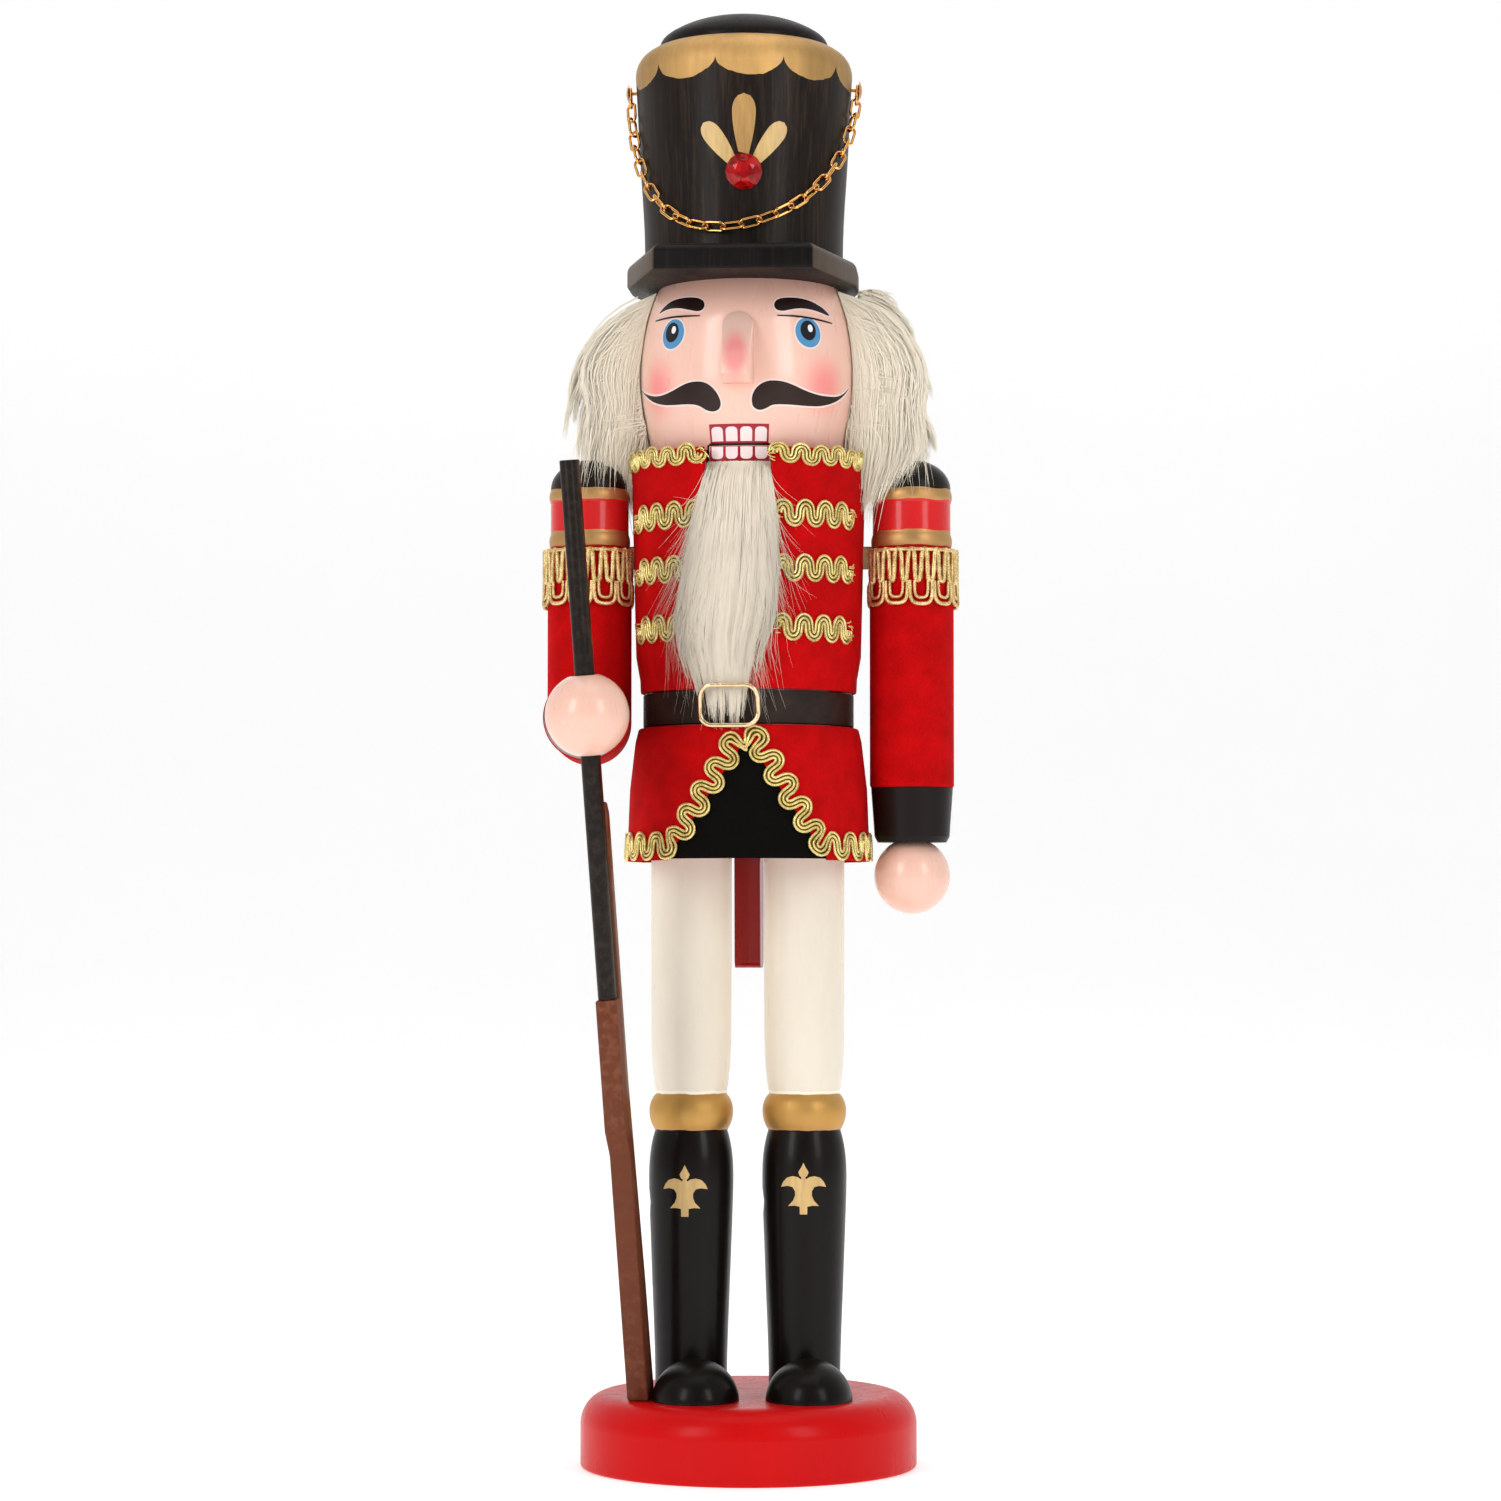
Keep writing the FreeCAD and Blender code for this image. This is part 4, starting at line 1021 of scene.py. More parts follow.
def paint_hat():
    surface = round_surface(smooth_profile(CROWN), JEWEL_TURN, (HAT_X, 0.0), 27.0)
    for name, centre, foot, length, half, lean in (
        ("middle", 0.0, 337.4, 15.6, 2.95, 0),
        ("right", -2.4, 334.8, 13.6, 2.45, -36),
        ("left", 2.4, 334.8, 13.6, 2.45, 36),
    ):
        outline = petal(centre, foot, length, half, lean)
        decal(f"petal_{name}", outline, surface, petal_gold, 1, rounding=0, slot="gold_metal")


paint_face()
paint_teeth()
paint_boots()
paint_hat()


# ---- Stone ----


def cut_stone():
    """A round stone: a girdle, main and half facets, and a flat table."""
    out, across = facing_axes(JEWEL_TURN)
    centre = Vector((HAT_X, 0, 333.0)) + out * 26.2
    bm = bmesh.new()
    for radius, lift, count, phase in (
        (4.7, 0.2, 16, 0.0),
        (4.75, 0.9, 16, 0.0),
        (4.1, 1.7, 16, 0.5),
        (3.1, 2.7, 8, 0.5),
        (2.2, 3.1, 8, 0.0),
    ):
        for i in range(count):
            t = 2 * math.pi * (i + phase) / count
            spoke = across * radius * math.sin(t) + UP * radius * math.cos(t)
            bm.verts.new((centre + spoke + out * lift) * MM)
    bmesh.ops.convex_hull(bm, input=bm.verts)
    loose = [v for v in bm.verts if not v.link_faces]
    bmesh.ops.delete(bm, geom=loose, context="VERTS")
    bmesh.ops.dissolve_limit(bm, angle_limit=math.radians(1.0), verts=bm.verts, edges=bm.edges)
    mesh = bpy.data.meshes.new("stone")
    bm.to_mesh(mesh)
    bm.free()
    return finish_mesh("stone", mesh, red_stone, 1.0)


ride(cut_stone(), "figure", "red_stone", "hat_jewel")


# ---- Felt ----

chest_profile = straight_profile(CHEST)
skirt_profile = straight_profile(SKIRT)
COAT_UNIT = 30.0
HALF_ROUND = math.pi * COAT_UNIT
SLIT_RIGHT = -(HALF_ROUND - SLIT_HALF + LEVER_X)
SLIT_LEFT = HALF_ROUND - SLIT_HALF - LEVER_X
chest_surface = round_surface(chest_profile, BODY_TURN, unit=COAT_UNIT)
skirt_surface = round_surface(skirt_profile, SKIRT_TURN, unit=COAT_UNIT)


def coat_arc(degrees):
    """The distance around the coat that an angle spans."""
    return math.radians(degrees) * COAT_UNIT


def felt_chest():
    """Wrapped round the chest from a seam at the back, with a notch for the jaw and a slit for the lever."""
    seam, notch = HALF_ROUND - 0.12, 8.8
    hem, notch_foot, slit_top, seam_foot, neck = 200.3, 221.0, 256.0, 256.4, 262.0
    outline = [
        (SLIT_RIGHT, hem), (SLIT_LEFT, hem), (SLIT_LEFT, slit_top), (seam, seam_foot), (seam, neck),
        (notch, neck), (notch, notch_foot), (-notch, notch_foot), (-notch, neck),
        (-seam, neck), (-seam, seam_foot), (SLIT_RIGHT, slit_top),
    ]
    obj = patch("coat_felt", outline, chest_surface, red_felt, 0.0, -FELT, 0.45, 3.0, 1.5)
    return ride(obj, "figure", "red_felt", "coat_chest")


def v_edge(half, foot, height, steps=12):
    """One side of the V in the skirt, from its foot to its point, as (around, height) points."""
    points = []
    for i in range(steps + 1):
        z = foot + height * i / steps
        points.append((COAT_UNIT * math.asin(half * (1 - i / steps) / skirt_profile(z)), z))
    return points


def felt_skirt():
    """Wrapped round the hips from one edge of the lever's slit to the other, with a V in front."""
    surface = round_surface(skirt_profile, BODY_TURN, unit=COAT_UNIT)
    shift = coat_arc(SKIRT_TURN - BODY_TURN)
    foot, waist = 156.5, 191.0
    side = v_edge(21.0, foot, 31.0)
    outline = [(SLIT_RIGHT, foot)] + [(shift - u, z) for u, z in side]
    outline += [(shift + u, z) for u, z in reversed(side[:-1])]
    outline += [(SLIT_LEFT, foot), (SLIT_LEFT, waist), (SLIT_RIGHT, waist)]
    obj = patch("skirt_felt", outline, surface, red_felt, 0.0, -FELT, 0.45, 3.0, 1.5)
    return ride(obj, "figure", "red_felt", "coat_skirt")


def felt_panel():
    """The triangle that shows in the skirt's V."""
    outline = []
    for i in range(13):
        z = 156.9 + 30.2 * i / 12
        x = 20.9 * (1 - i / 12) + 0.15
        outline.append((COAT_UNIT * math.asin(x / skirt_profile(z)), z))
    outline = outline + [(-u, z) for u, z in reversed(outline)]
    obj = patch("panel_felt", outline, skirt_surface, black_felt, -0.4, -FELT, 0.3, 2.5, 1.2)
    return ride(obj, "figure", "black_felt", "skirt_panel")


felt_chest()
felt_skirt()
felt_panel()


def tube_felt(name, centre_line, radius_out, radius_in, node, flat):
    """A felt tube round a line of (point, side, up) frames, with rounded ends."""
    sides = 56
    rounding = ((0.0, 0.35), (0.35, 0.08), (0.6, 0.0))  # (distance from the end, drop of the radius)
    first, last = centre_line[0], centre_line[-1]
    start = (first[0] - centre_line[1][0]).normalized()
    stop = (last[0] - centre_line[-2][0]).normalized()
    rings = [(first[0] - start * inset, *first[1:], radius_out - drop) for inset, drop in rounding]
    rings += [(*place, radius_out) for place in centre_line[1:-1]]
    rings += [(last[0] - stop * inset, *last[1:], radius_out - drop) for inset, drop in reversed(rounding)]
    rings += [(*place, radius_in) for place in reversed(centre_line)]
    verts, faces = [], []
    for point, side, up, radius in rings:
        for k in range(sides):
            t = 2 * math.pi * k / sides
            verts.append((point + (side * math.cos(t) + up * math.sin(t)) * radius) * MM)
    for i in range(len(rings)):
        a, b = i * sides, ((i + 1) % len(rings)) * sides
        for k in range(sides):
            m = (k + 1) % sides
            faces.append((a + k, a + m, b + m, b + k))
    obj = mesh_object(name, verts, faces, red_felt)
    return obj


SLEEVE_RADII = (11.0, 9.9)


def sleeves():
    x_axis, y_axis = Vector((1, 0, 0)), Vector((0, 1, 0))
    left = [(Vector((ARM_LEFT_X, 0, z)), x_axis, y_axis) for z in np.linspace(175.8, 238.0, 22)]
    obj = tube_felt("sleeve_felt_left", left, *SLEEVE_RADII, "arm_left", (2 * math.pi * 10.5, 62.2))
    ride(obj, "figure", "red_felt", "sleeve_left")
    # The right sleeve runs down and then forwards. Its one slanting ring is the mitre at the elbow.
    elbow = 193.0
    heights = (*np.linspace(238.0, 208.0, 12), 205.5, 204.0)
    right = [(Vector((ARM_RIGHT_X, 0, z)), x_axis, y_axis) for z in heights]
    right.append((Vector((ARM_RIGHT_X, 0, elbow)), x_axis, y_axis - UP))
    for y in (-11.5, -13.0, -15.5, -18.0, -20.5, -23.9):
        right.append((Vector((ARM_RIGHT_X, y, elbow)), x_axis, -UP))
    obj = tube_felt("sleeve_felt_right", right, *SLEEVE_RADII, "upper_arm_right", (2 * math.pi * 10.5, 69.0))
    ride(obj, "figure", "red_felt", "sleeve_right")


sleeves()


def strap():
    """The belt, wrapped round the waist with its ends at the back."""
    foot, top = 191.4, 199.8
    outline = [(SLIT_RIGHT, foot), (SLIT_LEFT, foot), (SLIT_LEFT, top), (SLIT_RIGHT, top)]
    surface = round_surface(lambda z: 27.5, BODY_TURN, unit=COAT_UNIT)
    obj = patch("strap", outline, surface, belt_leather, 0.0, -1.3, 0.3, 3.0, 1.5)
    return ride(obj, "figure", "belt_leather", "belt")


strap()


def buckle_wire():
    """A rounded rectangle of wire that leans out at its top."""
    width, height, corner, wire = 15.0, 10.2, 3.2, 0.62
    out, across = facing_axes(BUCKLE_TURN)
    centre = out * 30.1 + UP * 195.8
    line = []
    for cx, cz, start in ((1, 1, 0), (-1, 1, 90), (-1, -1, 180), (1, -1, 270)):
        for step in range(0, 91, 15):
            t = math.radians(start + step)
            x = cx * (width / 2 - corner) + corner * math.cos(t)
            z = cz * (height / 2 - corner) + corner * math.sin(t)
            lean = 1.5 * max(0.0, z / height * 2)
            line.append((centre + across * x + UP * z + out * lean) * MM)
    obj = tube_object("buckle_wire", [line], [wire * MM], buckle_gold, 12, True)
    return ride(obj, "figure", "gold_metal", "buckle")


buckle_wire()


# ---- Braid and fringe ----

WAVE = 6.8
CORD = 0.38
CORD_OFFSETS = (-0.98, 0.0, 0.98)
# The painted shade in the grooves between cords: its radius, its places across the braid and how far it sits
# below the cords.
GROOVE_SHADE = 0.26
GROOVE_SHADE_OFFSETS = (-0.49, 0.49)
GROOVE_SHADE_DROP = 0.12
LOOSE_THREAD = 0.16


def serpentine(length, wave, samples=26, steepness=1.5):
    """Points and normals of a wave of steep bends along a length. An item is (along, across, normal along,
    normal across)."""
    waves = max(1, round(length / wave))
    ds = 1.0 / samples
    x = y = 0.0
    pts = [(0.0, 0.0)]
    count = waves * samples
    for i in range(count):
        angle = steepness * math.cos(2 * math.pi * (i + 0.5) * ds)
        x += math.cos(angle)
        y += math.sin(angle)
        pts.append((x, y))
    scale = length / x
    ys = [p[1] for p in pts]
    middle = (max(ys) + min(ys)) / 2
    result = []
    for i, (px, py) in enumerate(pts):
        angle = steepness * math.cos(2 * math.pi * i * ds)
        result.append((px * scale, (py - middle) * scale, -math.sin(angle), math.cos(angle)))
    return result


def gimp_lines(path, surface, wave=WAVE, squeeze=1.0, lift=0.42, phase=1, offsets=CORD_OFFSETS):
    """Cords side by side that wind along a path of (around, height) points on a surface."""
    lengths = [0.0]
    for a, b in zip(path, path[1:]):
        lengths.append(lengths[-1] + math.dist(a, b))
    px, pz = [p[0] for p in path], [p[1] for p in path]

    def at(s):
        x, z = float(np.interp(s, lengths, px)), float(np.interp(s, lengths, pz))
        s0, s1 = max(0.0, s - 1.2), min(lengths[-1], s + 1.2)
        dx = float(np.interp(s1, lengths, px) - np.interp(s0, lengths, px))
        dz = float(np.interp(s1, lengths, pz) - np.interp(s0, lengths, pz))
        d = math.hypot(dx, dz) or 1.0
        return x, z, dx / d, dz / d

    curve = serpentine(lengths[-1], wave)
    lines = []
    for k, offset in enumerate(offsets):
        line = []
        for along, across, nx, ny in curve:
            s = along + nx * offset
            q = (across * phase + ny * offset * phase) * squeeze
            x, z, dx, dz = at(min(max(s, 0.0), lengths[-1]))
            over = s - min(max(s, 0.0), lengths[-1])
            rise = lift + 0.05 * math.sin(s * 2 + k)
            line.append(surface(x - dz * q + dx * over, z + dx * q + dz * over, rise))
        lines.append(line)
    return lines


def groove_shade_lines(path, surface, wave=WAVE, squeeze=1.0, lift=0.42, phase=1):
    """Painted shade: dark lines laid in the grooves between a braid's cords."""
    return gimp_lines(path, surface, wave, squeeze, lift - GROOVE_SHADE_DROP, phase, GROOVE_SHADE_OFFSETS)


def braid_piece(name, node, cords, groove_shades, loose):
    """A braid as two pieces: the painted shade in its grooves, and its cords with the loose ends."""
    obj = tube_object(f"{name}_groove_shade", groove_shades, [GROOVE_SHADE * MM] * len(groove_shades), groove_shade_brown, 4)
    ride(obj, "figure", "gold_braid")
    radii = [CORD * MM] * len(cords) + [LOOSE_THREAD * MM] * len(loose)
    obj = tube_object(f"{name}_cords", cords + loose, radii, braid_gold, 6)
    return ride(obj, "figure", "gold_braid", node)


def frayed_end(surface, x, z, sign, rng, count=9, spread=2.6):
    """Loose fibres at a cut end of braid."""
    lines = []
    for _ in range(count):
        z0 = z + rng.uniform(-spread, spread) * 0.8
        x0 = x - sign * rng.uniform(0.2, 1.6)
        length = rng.uniform(0.9, 2.3)
        lean = rng.uniform(-0.9, 0.6)
        pts = []
        for i in range(5):
            t = i / 4
            lift = 0.45 + 0.55 * math.sin(2.2 * t)
            pts.append(surface(x0 + sign * length * t, z0 + lean * length * t * t, lift))
        lines.append(pts)
    return lines


def frogs():
    """Three pairs of short braids across the chest."""
    rng = random.Random(11)
    cords, groove_shades, loose = [], [], []
    inner, outer = coat_arc(18.4), coat_arc(65.5)
    for level in (216.0, 231.0, 245.0):
        for sign in (-1, 1):
            start = inner + rng.uniform(-0.6, 0.6)
            drop = rng.uniform(-0.5, 0.5)
            shares = (0, 0.25, 0.5, 0.75, 1)
            path = [(sign * (start + (outer - start) * t), level + drop * t) for t in shares]
            cords += gimp_lines(path, chest_surface, WAVE, 1.05, phase=sign)
            groove_shades += groove_shade_lines(path, chest_surface, WAVE, 1.05, phase=sign)
            loose += frayed_end(chest_surface, sign * outer, level + drop, sign, rng)
            loose += frayed_end(chest_surface, sign * start, level, -sign, rng, 5)
    return braid_piece("frog", "frog_braids", cords, groove_shades, loose)


def collar():
    """Braid round the neck, open at the beard."""
    rng = random.Random(5)
    start, end, level = coat_arc(17.0), coat_arc(343.0), 260.2
    path = [(start + (end - start) * i / 80, level + 0.25 * math.sin(i * 0.9)) for i in range(81)]
    cords = gimp_lines(path, chest_surface, 6.0, 0.8)
    groove_shades = groove_shade_lines(path, chest_surface, 6.0, 0.8)
    loose = frayed_end(chest_surface, start, level, -1, rng, 8)
    loose += frayed_end(chest_surface, end, level, 1, rng, 8)
    return braid_piece("collar", "collar_braid", cords, groove_shades, loose)


def skirt_cords():
    """Braid from the slit at the back round the hem, up one side of the V, down the other and round."""
    rng = random.Random(7)
    slit_shift = coat_arc(BODY_TURN - SKIRT_TURN)
    top, hem = 187.3, 160.2
    halves, ends = [], []
    for sign, slit in ((-1, SLIT_RIGHT + 0.8), (1, SLIT_LEFT - 0.8)):
        half = [(sign * 0.7, top + 0.5)]
        for i in range(13):
            z = top - 0.6 - (top - hem - 2.1) * i / 12
            x = 2.4 + 18.8 * (top - z) / (top - 156.5)
            half.append((sign * COAT_UNIT * math.asin(x / skirt_profile(z)), z))
        corner = half[-1][0]
        half += [(corner + sign * 1.6, hem + 0.5), (corner + sign * 3.4, hem)]
        begin, end = corner + sign * 5.0, slit + slit_shift
        half += [(begin + (end - begin) * i / 30, hem) for i in range(31)]
        halves.append(half)
        ends.append((end, sign))
    path = halves[0][::-1] + halves[1]
    cords = gimp_lines(path, skirt_surface, lift=0.45)
    groove_shades = groove_shade_lines(path, skirt_surface, lift=0.45)
    loose = []
    for end, sign in ends:
        loose += frayed_end(skirt_surface, end, hem, sign, rng, 8)
    return braid_piece("skirt", "skirt_braid", cords, groove_shades, loose)


frogs()
collar()
skirt_cords()


def fringe_cords(name, x, node, seed, gap_towards):
    """Twisted cord: a header, close upright loops and a row of double scallops, open next to the coat."""
    rng = random.Random(seed)
    unit = 11.6
    surface = round_surface(lambda z: unit, gap_towards, (x, 0.0), unit)
    half = math.pi * unit - 4.0
    lines, radii = [], []
    loops = round(2 * half / 3.5)
    pts = []
    steps = 34
    for i in range(loops * steps + 1):
        t = i / steps
        phase = 2 * math.pi * t
        height = 233.3 + 4.1 * math.tanh(2.6 * math.cos(phase)) / math.tanh(2.6)
        wobble = 0.14 * math.sin(7.1 * t + seed)
        pts.append(surface(-half + 2 * half * t / loops + wobble, height, 0.1))
    lines.append(pts)
    radii.append(beaded(len(pts), 0.66, 2.0))
    header = [surface(-half + 2 * half * i / 120, 237.3, 0.25) for i in range(121)]
    lines.append(header)
    radii.append(beaded(len(header), 0.5, 2.4))
    scallops = 10
    width = 2 * half / scallops
    for s in range(scallops):
        sag = rng.uniform(-0.4, 0.3)
        for inset, depth, thick in ((0.3, 6.2 + sag, 0.55), (1.5, 4.6 + sag, 0.42)):
            pts = []
            count = 44
            for i in range(count + 1):
                t = i / count
                u = -half + width * (s + 0.5) + (width / 2 - inset) * math.sin(math.pi * (t - 0.5))
                height = 229.2 - depth * math.sqrt(max(0.0, 1 - abs(2 * t - 1) ** 2.6))
                pts.append(surface(u, height, 0.25 + 0.2 * math.sin(math.pi * t)))
            lines.append(pts)
            radii.append(beaded(len(pts), thick, 2.0))
    obj = tube_object(name, lines, radii, fringe_gold, 6)
    return ride(obj, "figure", "gold_braid", node)


def beaded(count, radius, per_bead):
    """Radii that swell and shrink along a twisted cord."""
    return [radius * (0.86 + 0.2 * abs(math.sin(math.pi * i / per_bead))) * MM for i in range(count)]


fringe_cords("fringe_right", ARM_RIGHT_X, "epaulet_fringe_right", 3, -90.0)
fringe_cords("fringe_left", ARM_LEFT_X, "epaulet_fringe_left", 4, 90.0)


# ---- Fur ----


def unit_length(vectors):
    """The vectors along an array's last axis, each with a length of 1."""
    return vectors / np.maximum(np.linalg.norm(vectors, axis=-1, keepdims=True), 1e-9)


def strands(name, paths, widths, tints, facing, material, round_share=0.3):
    """Three-sided tapering strands. `paths` is an array of strand, point, coordinate, in millimetres. They
    are shaded like the surface of the whole tuft, which is `facing`, with a share of their own roundness."""
    count, steps, _ = paths.shape
    along = unit_length(np.gradient(paths, axis=1))
    outward = unit_length(paths * (1.0, 1.0, 0.0))
    side = unit_length(np.cross(along, outward))
    up = np.cross(side, along)
    verts = np.empty((count, steps, 3, 3))
    normals = np.empty((count, steps, 3, 3))
    for k in range(3):
        t = 2 * math.pi * k / 3 + math.pi / 2
        ray = side * math.cos(t) + up * math.sin(t)
        verts[:, :, k, :] = paths + ray * widths[:, :, None]
        normals[:, :, k, :] = facing * (1 - round_share) + ray * round_share
    verts = verts.reshape(-1, 3) * MM
    normals = unit_length(normals.reshape(-1, 3))
    s = np.arange(count)[:, None, None] * steps * 3
    i = np.arange(steps - 1)[None, :, None] * 3
    k = np.arange(3)[None, None, :]
    m = (k + 1) % 3
    quads = np.stack([s + i + k, s + i + 3 + k, s + i + 3 + m, s + i + m], axis=-1).reshape(-1, 4)
    mesh = bpy.data.meshes.new(name)
    mesh.vertices.add(len(verts))
    mesh.vertices.foreach_set("co", verts.astype(np.float32).ravel())
    mesh.loops.add(len(quads) * 4)
    mesh.loops.foreach_set("vertex_index", quads.astype(np.int32).ravel())
    mesh.polygons.add(len(quads))
    mesh.polygons.foreach_set("loop_start", np.arange(0, len(quads) * 4, 4, dtype=np.int32))
    mesh.update(calc_edges=True)
    mesh.shade_smooth()
    mesh.normals_split_custom_set_from_vertices(normals.tolist())
    tint = mesh.attributes.new("tint", "FLOAT", "POINT")
    tint.data.foreach_set("value", np.repeat(tints, 3, axis=1).reshape(-1).astype(np.float32))
    mesh.materials.append(material)
    obj = bpy.data.objects.new(name, mesh)
    bpy.context.collection.objects.link(obj)
    return obj


# The hair's outer radius by height, and what is added to it at the figure's left and right temples.
HAIR_HEIGHTS = [246.0, 254.0, 262.0, 270.0, 277.0, 281.5, 286.3, 291.5, 297.0, 302.0, 305.8]
HAIR_RADII = [36.0, 39.5, 44.0, 46.0, 46.8, 46.3, 44.6, 42.0, 39.0, 35.6, 32.0]
HEAD_HEIGHTS = np.linspace(246, 307, 62)
HEAD_RADII = np.array([smooth_profile(HEAD)(float(z)) for z in HEAD_HEIGHTS]) + 0.5
FULLER_LEFT = ([256, 262, 268, 275, 281, 288, 295, 301, 305], [1.5, 2.0, 0.0, -1.5, 0.5, 2.2, 3.0, 3.2, 2.0])
THINNER_RIGHT = ([252, 260, 268, 276, 281, 288], [0.0, 0.0, -2.4, -5.2, -2.2, 0.0])


def hair_paths(rng, count, steps=8):
    """Hair combed out from under the brim and down in pointed locks, from temple to temple."""
    locks = 230
    lock_a = rng.uniform(78, 282, locks)
    lock_t = rng.uniform(0.1, 1.03, locks) ** 0.6
    lock_tip = rng.uniform(252, 264, locks)
    lock_tip = lock_tip + 14.0 * np.clip(lock_t - 0.55, 0, 1) * (np.abs(lock_a - 180) > 70)
    long_root = rng.uniform(0, 1, count) < 0.6
    root_a = rng.uniform(77, 283, count)
    edge = rng.uniform(0, 1, count) < 0.3
    root_a = np.where(edge, 180 + np.sign(root_a - 180) * rng.uniform(93, 103.5, count), root_a)
    root_z = np.where(long_root, rng.uniform(293, 305.2, count), rng.uniform(268, 303, count))
    depth = np.where(long_root, rng.uniform(0.55, 1.0, count), rng.uniform(0.15, 0.95, count))
    depth = np.where(edge, rng.uniform(0.0, 1.0, count) ** 1.5, depth)
    gap = np.abs(lock_a[None, :] - root_a[:, None]) + 14 * np.abs(lock_t[None, :] - depth[:, None])
    near = np.argmin(gap + rng.uniform(0, 5, (count, locks)), axis=1)
    v = np.linspace(0, 1, steps)[None, :]
    pull = 0.62 * v**2.6
    tip_z = lock_tip[near] + rng.normal(0, 3.6, count)
    tip_z = np.where(np.abs(root_a - 180) < 17, np.maximum(tip_z, 260.5), tip_z)
    tip_z = np.minimum(tip_z, root_z - 5)
    a = root_a[:, None] * (1 - pull) + (lock_a[near] + rng.normal(0, 1.6, count))[:, None] * pull
    z = root_z[:, None] + (tip_z - root_z)[:, None] * (0.4 * v + 0.6 * v**1.2)
    t = depth[:, None] * (1 - pull) + lock_t[near][:, None] * pull
    t = t + rng.normal(0, 0.05, (count, 1)) * v
    outer = np.interp(z, HAIR_HEIGHTS, HAIR_RADII)
    outer = outer + np.interp(z, *FULLER_LEFT) * np.clip((125 - root_a[:, None]) / 25, 0, 1)
    outer = outer + np.interp(z, *THINNER_RIGHT) * np.clip((root_a[:, None] - 235) / 25, 0, 1)
    inner = np.interp(z, HEAD_HEIGHTS, HEAD_RADII)
    r = inner + (outer - inner) * t * (1 - np.exp(-9.0 * v))
    r = r + np.abs(rng.normal(0, 0.45, (count, 1))) * v**2
    a = a + rng.normal(0, 1.3, (count, 1)) * v + 0.25 * np.sin(4 * v + rng.uniform(0, 6, (count, 1)))
    stray = rng.uniform(0, 1, (count, 1)) < 0.03
    r = r + stray * rng.uniform(0.5, 3.0, (count, 1)) * v**2.5
    a = np.clip(a, 76.5, 283.5)
    angle = np.radians(a + BODY_TURN)
    paths = np.stack([r * np.sin(angle), -r * np.cos(angle), z], axis=-1)
    widths = rng.uniform(0.13, 0.24, (count, 1)) * (1 - 0.85 * v**1.8)
    tint = rng.uniform(0.6, 1.0, (count, 1)) * (0.84 + 0.16 * v)
    folded = np.minimum(a, 360 - a)
    front = np.clip(1 - (folded - 80) / 16, 0, 1) * np.clip(1.5 - t, 0.35, 1)
    sideways, forwards = np.sin(angle) * (1 - front), -np.cos(angle) * (1 - front) - front
    facing = unit_length(np.stack([sideways, forwards, np.full_like(z, 0.12)], axis=-1))
    return paths, widths, tint, facing


# Height of the root, bend x and z, tip x and z, strands.
TUFTS = [
    (297.0, -47.0, 288.0, -48.9, 266.5, 45),
    (301.0, -44.5, 295.0, -47.6, 275.5, 160),
    (296.0, -45.0, 287.0, -46.2, 271.0, 80),
    (289.0, -44.5, 281.0, -45.2, 262.5, 130),
    (305.5, 34.5, 306.6, 39.6, 299.8, 70),
    (304.0, 40.0, 301.5, 43.8, 291.5, 130),
    (301.0, 44.5, 295.0, 47.2, 281.0, 160),
    (295.0, 46.5, 288.0, 48.6, 277.5, 40),
    (289.0, 46.0, 284.0, 46.0, 271.5, 110),
    (283.0, 46.5, 277.0, 49.5, 263.5, 120),
]


def side_tufts(rng, steps=8):
    """Pointed tufts that stand out at the two sides of the hair."""
    v = np.linspace(0, 1, steps)[None, :, None]
    groups = []
    for root_z, bend_x, bend_z, tip_x, tip_z, count in TUFTS:
        out = math.copysign(1.0, tip_x)
        spread = rng.normal(0, 1.0, (count, 1))
        x = out * (28.6 + np.abs(rng.normal(0, 0.8, (count, 1))))
        y = rng.uniform(-4.0, 6.0, (count, 1))
        root = np.stack([x, y, np.minimum(root_z + 1.4 * spread, 306.0)], axis=-1)
        y = rng.uniform(-4.0, 4.0, (count, 1))
        bend = np.stack([bend_x + out * 0.5 * spread, y, bend_z + 0.9 * spread], axis=-1)
        x = tip_x - out * np.abs(rng.normal(0, 0.7, (count, 1)))
        y = rng.uniform(-3.0, 2.0, (count, 1))
        tip = np.stack([x, y, tip_z + np.abs(rng.normal(0, 2.2, (count, 1)))], axis=-1)
        groups.append(root * (1 - v) ** 2 + bend * 2 * v * (1 - v) + tip * v**2)
    paths = np.concatenate(groups)
    v = v[:, :, 0]
    widths = rng.uniform(0.12, 0.22, (len(paths), 1)) * (1 - 0.88 * v**1.6)
    tint = rng.uniform(0.65, 1.0, (len(paths), 1)) * (0.86 + 0.14 * v)
    aside = np.sign(paths[:, :, 0])
    facing = np.stack([aside * 0.6, np.full_like(aside, -0.78), np.full_like(aside, 0.15)], axis=-1)
    return paths, widths, tint, facing


ARM_TOP = ([249, 253.5, 257.0, 259.9, 261.4, 269], [11.0, 11.0, 10.3, 8.2, 6.4, 4.5])
ROOM_TO_SIDE = 9.3


